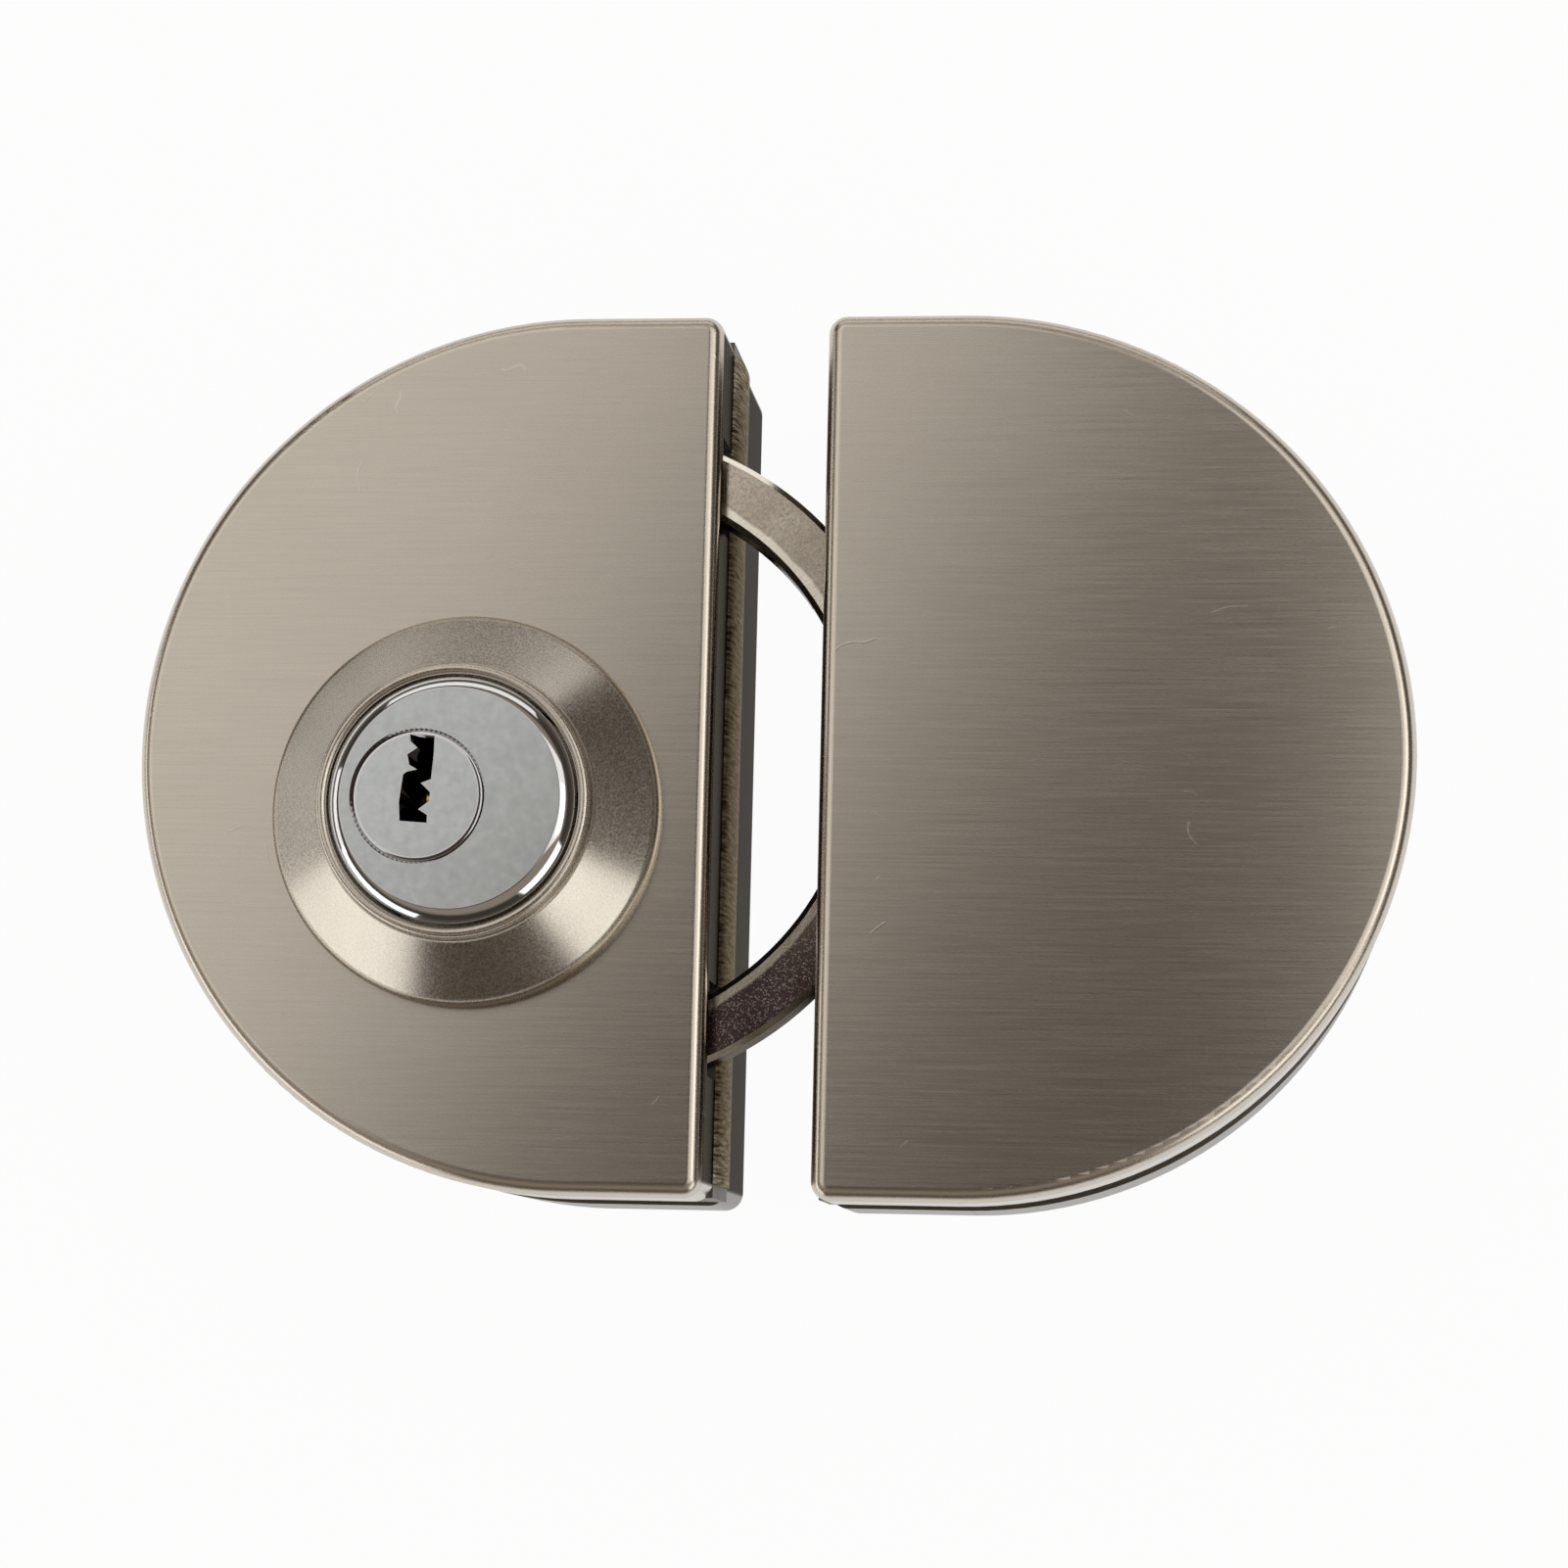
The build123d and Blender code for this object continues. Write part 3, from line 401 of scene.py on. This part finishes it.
def turned_nickel(name, centre, light, dark, roughness):
    """Plated turned metal with fine marks round its own axis."""
    material, tree, shader, place = new_material(name)
    around = use_group(tree, round_axis, place, Axis=(centre.x, centre.y, 0))
    turning = add_node(tree, "ShaderNodeCombineXYZ", X=around.outputs["Reach"], Y=axes(tree, place)["Z"])
    rings = grained(tree, turning.outputs[0], 5200.0, detail=2.0)
    skin = grained(tree, place, 3800.0, roughness=0.7)
    cloud = grained(tree, place, 130.0)
    colour = mixed(tree, ranged(tree, skin, 0.35, 0.65, 0.0, 1.0), (*dark, 1), (*light, 1))
    colour = mixed(tree, ranged(tree, cloud, 0.35, 0.7, 0.0, 0.25), colour,
                   shaded(dark, 0.85, 0.83, 0.8))
    skin_normal = bumped(tree, skin, strength=0.25, distance=0.02 * mm)
    normal = bumped(tree, rings, strength=0.15, distance=0.015 * mm, normal=skin_normal)
    finish(tree, shader, colour, ranged(tree, skin, 0.3, 0.7, roughness - 0.05, roughness + 0.07),
           normal)
    return material


def turned(name, body, stands_for, centre, outline, steps=192, sharp_over=50.0):
    """A ring turned from a closed outline of radius and height."""
    shape = bmesh.new()
    points = [shape.verts.new((centre.x + radius, centre.y, height)) for radius, height in outline]
    edges = [shape.edges.new((points[index - 1], points[index])) for index in range(len(points))]
    bmesh.ops.spin(shape, geom=points + edges, cent=(centre.x, centre.y, 0), axis=(0, 0, 1),
                   angle=2 * pi, steps=steps, use_merge=True)
    bmesh.ops.remove_doubles(shape, verts=shape.verts, dist=merge_distance)
    bmesh.ops.recalc_face_normals(shape, faces=shape.faces)
    return finished(shape, name, body, stands_for, sharp_over)


def rounded(centre_radius, centre_height, radius, start, end, steps):
    """Points on an arc of the outline, in degrees from the outward direction."""
    angles = [radians(start + (end - start) * step / steps) for step in range(steps + 1)]
    return [(centre_radius + radius * cos(angle), centre_height + radius * sin(angle))
            for angle in angles]


escutcheon_low, escutcheon_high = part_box("escutcheon")
ring_centre = (escutcheon_low + escutcheon_high) / 2
ring_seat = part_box("lock_front_cover")[1].z
rim_radius = 21.0 * mm
rim_round = 2.0 * mm
rim_edge = 0.90 * mm
flank_slope = 38.0
neck_round = 0.9 * mm
neck_rise = 7.35 * mm
lip_outer = 14.55 * mm
lip_round = 0.55 * mm
bore = 13.35 * mm
spigot = 15.15 * mm
rim_arc = rounded(rim_radius - rim_round, ring_seat + rim_edge, rim_round, 0, 90 - flank_slope, steps=12)
neck_arc = rounded(lip_outer + neck_round, ring_seat + neck_rise, neck_round, 270 - flank_slope, 180,
                   steps=8)
lip_arc = rounded((lip_outer + bore) / 2, escutcheon_high.z - lip_round, (lip_outer - bore) / 2,
                  0, 180, steps=10)
escutcheon_outline = [
    (bore, escutcheon_low.z), (spigot, escutcheon_low.z), (spigot, ring_seat), (rim_radius, ring_seat),
    *rim_arc, *neck_arc, *lip_arc,
]
escutcheon_ring = turned("escutcheon_ring", "lock_half", ("escutcheon",), ring_centre,
                         escutcheon_outline)
coat(escutcheon_ring, turned_nickel("turned satin nickel", ring_centre, light=(0.64, 0.59, 0.51),
                                    dark=(0.54, 0.495, 0.425), roughness=0.25))


# The cylinder: a chromed zinc housing, screwed on from behind the case. Its front face is lapped to a
# soft grey, and its edge is left bright and rounds over to the wall, so it mirrors the light all round.

bright_edge = (0.62, 0.62, 0.615, 1)
bright_roughness = 0.08
straight_up = (0, 0, 1)
hollow_painted_shade = (0.02, 0.018, 0.016, 1)
hollow_painted_shade_tint = (0.1, 0.1, 0.1, 1)
edge_lean = 0.52
lean_end = 0.10 * mm
face_end = 0.02 * mm


def chrome(name, face_height, face_colour, face_roughness, axis, edge_drop, first_lean, painted_shade_reach):
    """Bright plate with a lapped front face, an edge that rounds over from it to the wall, and painted
    shade inside a hollow round the axis.
    """
    material, tree, shader, place = new_material(name)
    height = axes(tree, place)["Z"]
    around = use_group(tree, round_axis, place, Axis=(axis.x, axis.y, 0))
    on_face = ranged(tree, height, face_height - 0.06 * mm, face_height - face_end, 0.0, 1.0)
    skin = grained(tree, place, 900.0, roughness=0.6)
    cloud = grained(tree, place, 240.0, detail=5.0)
    lapped = mixed(tree, ranged(tree, cloud, 0.45, 0.8, 0.0, 0.5), (*face_colour, 1),
                   shaded(face_colour, 0.85, 0.86, 0.86))
    colour = mixed(tree, on_face, bright_edge, lapped)
    lapped_roughness = ranged(tree, skin, 0.3, 0.7, face_roughness - 0.04, face_roughness + 0.05)
    roughness = mixed(tree, on_face, bright_roughness, lapped_roughness, "FLOAT")

    # Painted shade: inside a hollow round the axis and below the face, the colour goes near black and
    # the reflections are dimmed.
    within = ranged(tree, around.outputs["Reach"], painted_shade_reach, painted_shade_reach + 0.1 * mm, 1.0, 0.0)
    below = ranged(tree, height, face_height - 0.40 * mm, face_height - 0.14 * mm, 1.0, 0.0)
    hollow_shade_mask = maths(tree, "MULTIPLY", within, below)
    colour = mixed(tree, hollow_shade_mask, colour, hollow_painted_shade)
    tree.links.new(mixed(tree, hollow_shade_mask, no_tint, hollow_painted_shade_tint), shader.inputs["Specular Tint"])

    lean_height = face_height - lean_end
    first = ranged(tree, height, face_height - face_end, lean_height, 0.0, first_lean)
    second = ranged(tree, height, lean_height, face_height - edge_drop, 0.0, edge_lean - first_lean)
    turn_over = maths(tree, "ADD", first, second)
    leaning = mixed(tree, turn_over, straight_up, around.outputs["Outward"], "VECTOR")
    rounded_edge = vectors(tree, "NORMALIZE", leaning)
    finish(tree, shader, colour, roughness,
           bumped(tree, skin, strength=0.05, distance=0.01 * mm, normal=rounded_edge))
    return material


cylinder_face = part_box("cylinder_body")[1].z
cylinder_piece = smooth_copy("cylinder_body", "cylinder_housing", "lock_half")
no_painted_shade = -1.0
coat(cylinder_piece, chrome("chrome housing", cylinder_face, face_colour=(0.56, 0.58, 0.565),
                            face_roughness=0.20, axis=ring_centre, edge_drop=1.2 * mm,
                            first_lean=0.30, painted_shade_reach=no_painted_shade))


# The plug: turned brass under the same plate, with the warded keyway broached through it. The mouth of
# the keyway is broken with a fine round by tumbling, and the inside of it is darkened with painted
# shade.

plug_centre = Vector((-35.202 * mm, -6.791 * mm))
keyway_reach = 5.2 * mm
keyway_round = 0.12 * mm
rim_depth = 0.01 * mm
rim_angle = 60
plug_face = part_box("cylinder_plug")[1].z
plug_shape = merged_copy("cylinder_plug")
keyway_rim = [
    edge for edge in plug_shape.edges
    if all(vert.co.z > plug_face - rim_depth and (vert.co.xy - plug_centre).length < keyway_reach
           for vert in edge.verts)
    and len(edge.link_faces) == 2 and edge.calc_face_angle(0) > radians(rim_angle)
]
bmesh.ops.bevel(plug_shape, geom=keyway_rim, offset=keyway_round, offset_type="OFFSET", segments=2,
                profile=0.5, affect="EDGES", material=-1, clamp_overlap=True)
bmesh.ops.recalc_face_normals(plug_shape, faces=plug_shape.faces)
plug_piece = finished(plug_shape, "keyed_plug", "key_plug", ("cylinder_plug",))
coat(plug_piece, chrome("chrome plug", cylinder_face, face_colour=(0.58, 0.60, 0.585),
                        face_roughness=0.18, axis=plug_centre, edge_drop=0.7 * mm,
                        first_lean=0.0, painted_shade_reach=keyway_reach))


# The pins in the plug and the housing, and the small plugs that close their chambers: plain turned
# brass from automatic lathes, a little dulled. They slide in drilled chambers under their springs.

def plain_metal(name, colour, roughness, grain_size=900.0, contrast=0.12, depth=0.02 * mm):
    """Metal with a mild mottle and a fine bump."""
    material, tree, shader, place = new_material(name)
    mottle = grained(tree, place, grain_size, detail=4.0, roughness=0.6)
    darker = shaded(colour, *(1 - 2 * contrast,) * 3)
    finish(tree, shader, mixed(tree, ranged(tree, mottle, 0.3, 0.7, 0.0, 1.0), darker, (*colour, 1)),
           ranged(tree, mottle, 0.3, 0.7, roughness - 0.06, roughness + 0.08),
           bumped(tree, mottle, strength=0.3, distance=depth))
    return material


pin_brass = plain_metal("pin brass", (0.80, 0.56, 0.22), roughness=0.3)
for node, name, body in (
    ("key_pins", "brass_key_pins", "key_plug"), ("driver_pins", "brass_driver_pins", "lock_half"),
    ("chamber_plugs", "brass_chamber_plugs", "lock_half"),
):
    coat(smooth_copy(node, name, body), pin_brass)


# The springs, clip, gears, pivot pin and small screws: bright zinc plated or hardened steel, made in
# batches on automatic machines, and left as they come.

steel = plain_metal("bright steel", (0.56, 0.57, 0.58), roughness=0.30, grain_size=1500.0, contrast=0.08)
dark_steel = plain_metal("hardened steel", (0.36, 0.35, 0.34), roughness=0.38, grain_size=1100.0)
for node, name, body, metal in (
    ("pin_springs", "wound_springs", "lock_half", steel),
    ("plug_clip", "retaining_clip", "key_plug", dark_steel),
    ("drive_gear", "plug_pinion", "key_plug", steel),
    ("idler_gear", "idler_pinion", "idler", steel),
    ("idler_pin", "idler_pivot", "lock_half", dark_steel),
    ("cylinder_screws", "cylinder_fixings", "lock_half", steel),
    ("bolt_plate", "bolt_cover_plate", "lock_half", steel),
    ("bolt_plate_screws", "plate_fixings", "lock_half", steel),
    ("lock_clamp_screws", "lock_clamps", "lock_half", dark_steel),
    ("lock_back_screws", "lock_back_fixings", "lock_half", steel),
    ("lock_cover_screws", "lock_cover_fixings", "lock_half", steel),
    ("strike_plate", "strike_cover_plate", "strike_half", steel),
    ("strike_plate_screws", "strike_plate_fixings", "strike_half", steel),
    ("strike_clamp_screws", "strike_clamps", "strike_half", dark_steel),
    ("strike_back_screws", "strike_back_fixings", "strike_half", steel),
    ("strike_cover_screws", "strike_cover_fixings", "strike_half", steel),
):
    coat(smooth_copy(node, name, body), metal)


# The turning bolt: a zinc casting, tumbled and nickel plated over its rough skin, so that the skin
# glitters. Its chamfers and a band along its inner edge carry painted highlights, its walls carry
# painted shade, and its lower end is painted dark with bright specks as painted glints.

bolt_low, bolt_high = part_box("ring_bolt")
bolt_outer = max(bolt_high.y, -bolt_low.y)
bolt_width = 6.5 * mm
bolt_inner = bolt_outer - bolt_width
bolt_pivot = bolt_high.x - bolt_outer
plate_dark, plate_light = (0.40, 0.34, 0.275, 1), (0.60, 0.535, 0.44, 1)
stain_colour = (0.42, 0.35, 0.27, 1)
lower_end_painted_shade, painted_glint_colour = (0.17, 0.12, 0.115, 1), (0.85, 0.78, 0.72, 1)
painted_highlight_band = (0.97, 0.90, 0.76, 1)
painted_chamfer_highlight = (0.86, 0.80, 0.68, 1)
bolt_wall_painted_shade, bolt_wall_painted_shade_tint = (0.09, 0.075, 0.06, 1), (0.25, 0.22, 0.19, 1)


def glittering_plate():
    """Plate over a grained casting, with painted highlights on its chamfers and inner band and painted
    shade on its walls and lower end.
    """
    material, tree, shader, place = new_material("plated rough casting")
    facing = add_node(tree, "ShaderNodeNewGeometry").outputs["True Normal"]
    upright = maths(tree, "ABSOLUTE", axes(tree, facing)["Z"])
    skin = grained(tree, place, 3600.0, roughness=0.7)
    stain = grained(tree, place, 160.0)
    painted_glint_specks = grained(tree, place, 5200.0, detail=1.0)
    colour = mixed(tree, ranged(tree, skin, 0.35, 0.6, 0.0, 1.0), plate_dark, plate_light)
    colour = mixed(tree, ranged(tree, stain, 0.45, 0.75, 0.0, 0.5), colour, stain_colour)
    # Painted shade with painted glints: towards the lower end the plate turns near black, strewn with
    # bright specks.
    painted_lower_shade_and_glints = mixed(tree, ranged(tree, painted_glint_specks, 0.56, 0.66, 0.0, 0.75), lower_end_painted_shade, painted_glint_colour)
    lower_end_shade_mask = ranged(tree, axes(tree, place)["Y"], -6 * mm, -24 * mm, 0.0, 1.0)
    colour = mixed(tree, lower_end_shade_mask, colour, painted_lower_shade_and_glints)

    around = use_group(tree, round_axis, place, Axis=(bolt_pivot, 0, 0))
    # Painted highlight: an uneven bright band along the inner edge.
    uneven = maths(tree, "MULTIPLY_ADD", stain, 1.2 * mm, around.outputs["Reach"])
    inner_highlight_mask = ranged(tree, uneven, bolt_inner + 2.2 * mm, bolt_inner + 1.9 * mm, 0.0, 1.0)
    colour = mixed(tree, inner_highlight_mask, colour, painted_highlight_band)
    # Painted highlight: the slanting chamfers are made bright.
    colour = mixed(tree, maths(tree, "COMPARE", upright, 0.7, 0.2), colour, painted_chamfer_highlight)
    # Painted shade: the walls are darkened and their reflections dimmed.
    bolt_wall_mask = ranged(tree, upright, 0.1, 0.5, 1.0, 0.0)
    colour = mixed(tree, bolt_wall_mask, colour, bolt_wall_painted_shade)
    tree.links.new(mixed(tree, bolt_wall_mask, no_tint, bolt_wall_painted_shade_tint), shader.inputs["Specular Tint"])
    finish(tree, shader, colour, ranged(tree, stain, 0.3, 0.7, 0.14, 0.22),
           bumped(tree, skin, strength=0.22, distance=0.03 * mm))
    return material


bolt_piece = smooth_copy("ring_bolt", "turning_bolt", "bolt")
coat(bolt_piece, glittering_plate())


# The four frames that the covers sit on: grey zinc castings with a coarse skin, left bare where the
# covers and the glass hide them. The clamp screws pull each front frame and back frame together.

casting = plain_metal("grey casting", (0.20, 0.18, 0.155), roughness=0.5, grain_size=700.0, contrast=0.2,
                      depth=0.1 * mm)
for node, name, body in (
    ("lock_case", "lock_frame", "lock_half"), ("lock_back_body", "lock_back_frame", "lock_half"),
    ("strike_case", "strike_frame", "strike_half"),
    ("strike_back_body", "strike_back_frame", "strike_half"),
):
    coat(smooth_copy(node, name, body), casting)


# The ribs down the straight sides of the frames: part of the casting, half round and still showing the
# cross marks of the file that cleaned the parting line. They close the seam between the two covers.

file_stretch = (400, 2600, 300)
filed_tint = (0.35, 0.31, 0.25, 1)
groove_painted_shade, ridge_colour = (0.05, 0.04, 0.03, 1), (0.80, 0.70, 0.54, 1)


def filed_metal():
    """Bare casting with file marks across it, with painted shade in their grooves."""
    material, tree, shader, place = new_material("filed casting")
    stretched = vectors(tree, "MULTIPLY", place, file_stretch)
    marks = grained(tree, stretched, 1.0, detail=4.0, roughness=0.7)
    shader.inputs["Specular Tint"].default_value = filed_tint
    # Painted shade: the grooves of the file marks are made near black.
    colour = mixed(tree, ranged(tree, marks, 0.35, 0.65, 0.0, 1.0), groove_painted_shade, ridge_colour)
    finish(tree, shader, colour, ranged(tree, marks, 0.3, 0.7, 0.28, 0.5),
           bumped(tree, marks, strength=0.8, distance=0.25 * mm))
    return material


rib_metal = filed_metal()
rib_setback = 3 * mm
rib_depth = 0.7 * mm
for half, side in (("lock", 1), ("strike", -1)):
    frame_low, frame_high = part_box(f"{half}_back_body")
    wall_x = frame_high.x if side > 0 else frame_low.x
    back_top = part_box(f"{half}_back_cover")[1].z
    seam_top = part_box(f"{half}_front_cover")[0].z
    rib_length = frame_high.y - frame_low.y - rib_setback
    rib_shape = bmesh.new()
    bmesh.ops.create_cone(
        rib_shape, cap_ends=True, cap_tris=False, segments=32, radius1=1.0, radius2=1.0, depth=1.0,
        matrix=Matrix.Translation((wall_x, 0, (back_top + seam_top) / 2))
        @ Matrix.Diagonal((rib_depth, rib_length, (seam_top - back_top) / 2, 1))
        @ Matrix.Rotation(radians(90), 4, "X"),
    )
    coat(finished(rib_shape, f"{half}_side_rib", f"{half}_half", (), sharp_over=40.0),
         rib_metal)


# The pads on both sides of the glass: black rubber sheet, die cut and glued into the frames. They
# take up the unevenness of the glass and keep the metal off it.

rubber_dark, rubber_light = (0.012, 0.012, 0.012, 1), (0.03, 0.03, 0.03, 1)


def black_rubber():
    """Matt rubber with a fine grain."""
    material, tree, shader, place = new_material("black rubber")
    skin = grained(tree, place, 2500.0)
    finish(tree, shader, mixed(tree, skin, rubber_dark, rubber_light),
           ranged(tree, skin, 0.3, 0.7, 0.6, 0.8),
           bumped(tree, skin, strength=0.4, distance=0.05 * mm), metallic=0.0)
    return material


rubber = black_rubber()
for half in ("lock", "strike"):
    for face in ("front", "back"):
        coat(smooth_copy(f"{half}_{face}_pad", f"{half}_{face}_rubber", f"{half}_half"), rubber)


# The table the lock lies on, the studio light round it and the camera above it. The table is white
# paper; it takes the lock's shadow, and metal that mirrors it sees it as bright as the eye does.

table_size = 4.0
table_gap = 0.1 * mm
paper_share = 0.96
paper_colour, glow_colour = (0.90, 0.90, 0.90, 1), (1, 1, 1, 1)
table_mesh = bmesh.new()
bmesh.ops.create_grid(table_mesh, x_segments=1, y_segments=1, size=table_size / 2,
                      matrix=Matrix.Translation((0, 0, cad_low.z - table_gap)))
table_data = bpy.data.meshes.new("table")
table_mesh.to_mesh(table_data)
table_mesh.free()
table = bpy.data.objects.new("table", table_data)
scene.collection.objects.link(table)
paper = bpy.data.materials.new("white paper")
paper.use_nodes = True
paper_tree = paper.node_tree
paper_tree.nodes.clear()
paper_end = paper_tree.nodes.new("ShaderNodeOutputMaterial")
matt = add_node(paper_tree, "ShaderNodeBsdfDiffuse", Color=paper_colour)
glow = add_node(paper_tree, "ShaderNodeEmission", Color=glow_colour, Strength=1.0)
path = add_node(paper_tree, "ShaderNodeLightPath").outputs
seen = maths(paper_tree, "MAXIMUM", path["Is Camera Ray"], path["Is Glossy Ray"])
seen = maths(paper_tree, "MAXIMUM", seen, path["Is Transmission Ray"])
blend = paper_tree.nodes.new("ShaderNodeMixShader")
paper_tree.links.new(maths(paper_tree, "MULTIPLY", seen, paper_share), blend.inputs[0])
paper_tree.links.new(matt.outputs[0], blend.inputs[1])
paper_tree.links.new(glow.outputs[0], blend.inputs[2])
paper_tree.links.new(blend.outputs[0], paper_end.inputs["Surface"])
coat(table, paper)

sky_tones = ((0.0, 0.18), (0.26, 0.06), (0.45, 0.06), (0.58, 0.34), (0.80, 0.34), (0.94, 0.06))
sky_warmth = (0.84, 0.70)
zenith_colour = (0.070, 0.051, 0.040, 1)
world = bpy.data.worlds.new("studio")
scene.world = world
world.use_nodes = True
sky = world.node_tree
sky_place = add_node(sky, "ShaderNodeTexCoord")
sky_ramp = add_node(sky, "ShaderNodeValToRGB", Fac=axes(sky, sky_place.outputs["Generated"])["Z"])
for height, tone in sky_tones:
    stop = sky_ramp.color_ramp.elements[0] if height == 0 else sky_ramp.color_ramp.elements.new(height)
    stop.color = (tone, *(tone * share for share in sky_warmth), 1)
sky_ramp.color_ramp.elements[-1].color = zenith_colour
node_input(sky, sky.nodes["Background"], "Color", sky_ramp.outputs["Color"])
sky.nodes["Background"].inputs["Strength"].default_value = 1.0


def soft_lamp(name, place, turn, width, height, radiance):
    """A flat soft lamp of an even brightness."""
    lamp = bpy.data.lights.new(name, "AREA")
    lamp.shape = "RECTANGLE"
    lamp.size = width
    lamp.size_y = height
    lamp.energy = radiance * pi * width * height
    holder = bpy.data.objects.new(name, lamp)
    holder.location = place
    holder.rotation_euler = turn
    scene.collection.objects.link(holder)


# Overhead: name, place, turn in degrees, width, height, brightness
for name, place, angle, *lamp_sizes in (
    ("overhead lamp", (-0.54, 0.37, 1.0), 51, 1.2, 0.9, 0.75),
    ("overhead right lamp", (0.76, 0.25, 1.0), 0, 1.1, 1.1, 0.95),
):
    soft_lamp(name, place, (0, 0, radians(angle)), *lamp_sizes)

# Low and facing the lock: name, compass angle, elevation, distance, width, height, brightness
for name, compass, elevation, distance, *lamp_sizes in (
    ("back lamp", 96, 21, 1.3, 1.7, 0.35, 1.15),
    ("right lamp", 4, 46, 1.2, 0.5, 0.3, 1.2),
    ("left lamp", 178, 16, 1.2, 0.7, 0.3, 1.3),
    ("front left lamp", -143, 13, 1.2, 1.05, 0.35, 1.75),
    ("front right lamp", -38, 26, 1.2, 0.75, 0.4, 1.75),
):
    reach = distance * cos(radians(elevation))
    place = Vector((reach * cos(radians(compass)), reach * sin(radians(compass)),
                    distance * sin(radians(elevation))))
    soft_lamp(name, place, (-place).to_track_quat("-Z", "Y").to_euler(), *lamp_sizes)

camera_data = bpy.data.cameras.new("camera")
camera_data.lens = 83.53
camera_data.sensor_width = 36.0
camera_data.clip_start = 0.01
camera = bpy.data.objects.new("camera", camera_data)
camera.location = (0.04592, -0.06188, 0.41516)
camera.rotation_euler = (radians(8.837), radians(6.418), radians(1.341))
scene.collection.objects.link(camera)
scene.camera = camera
scene.view_settings.view_transform = "Standard"
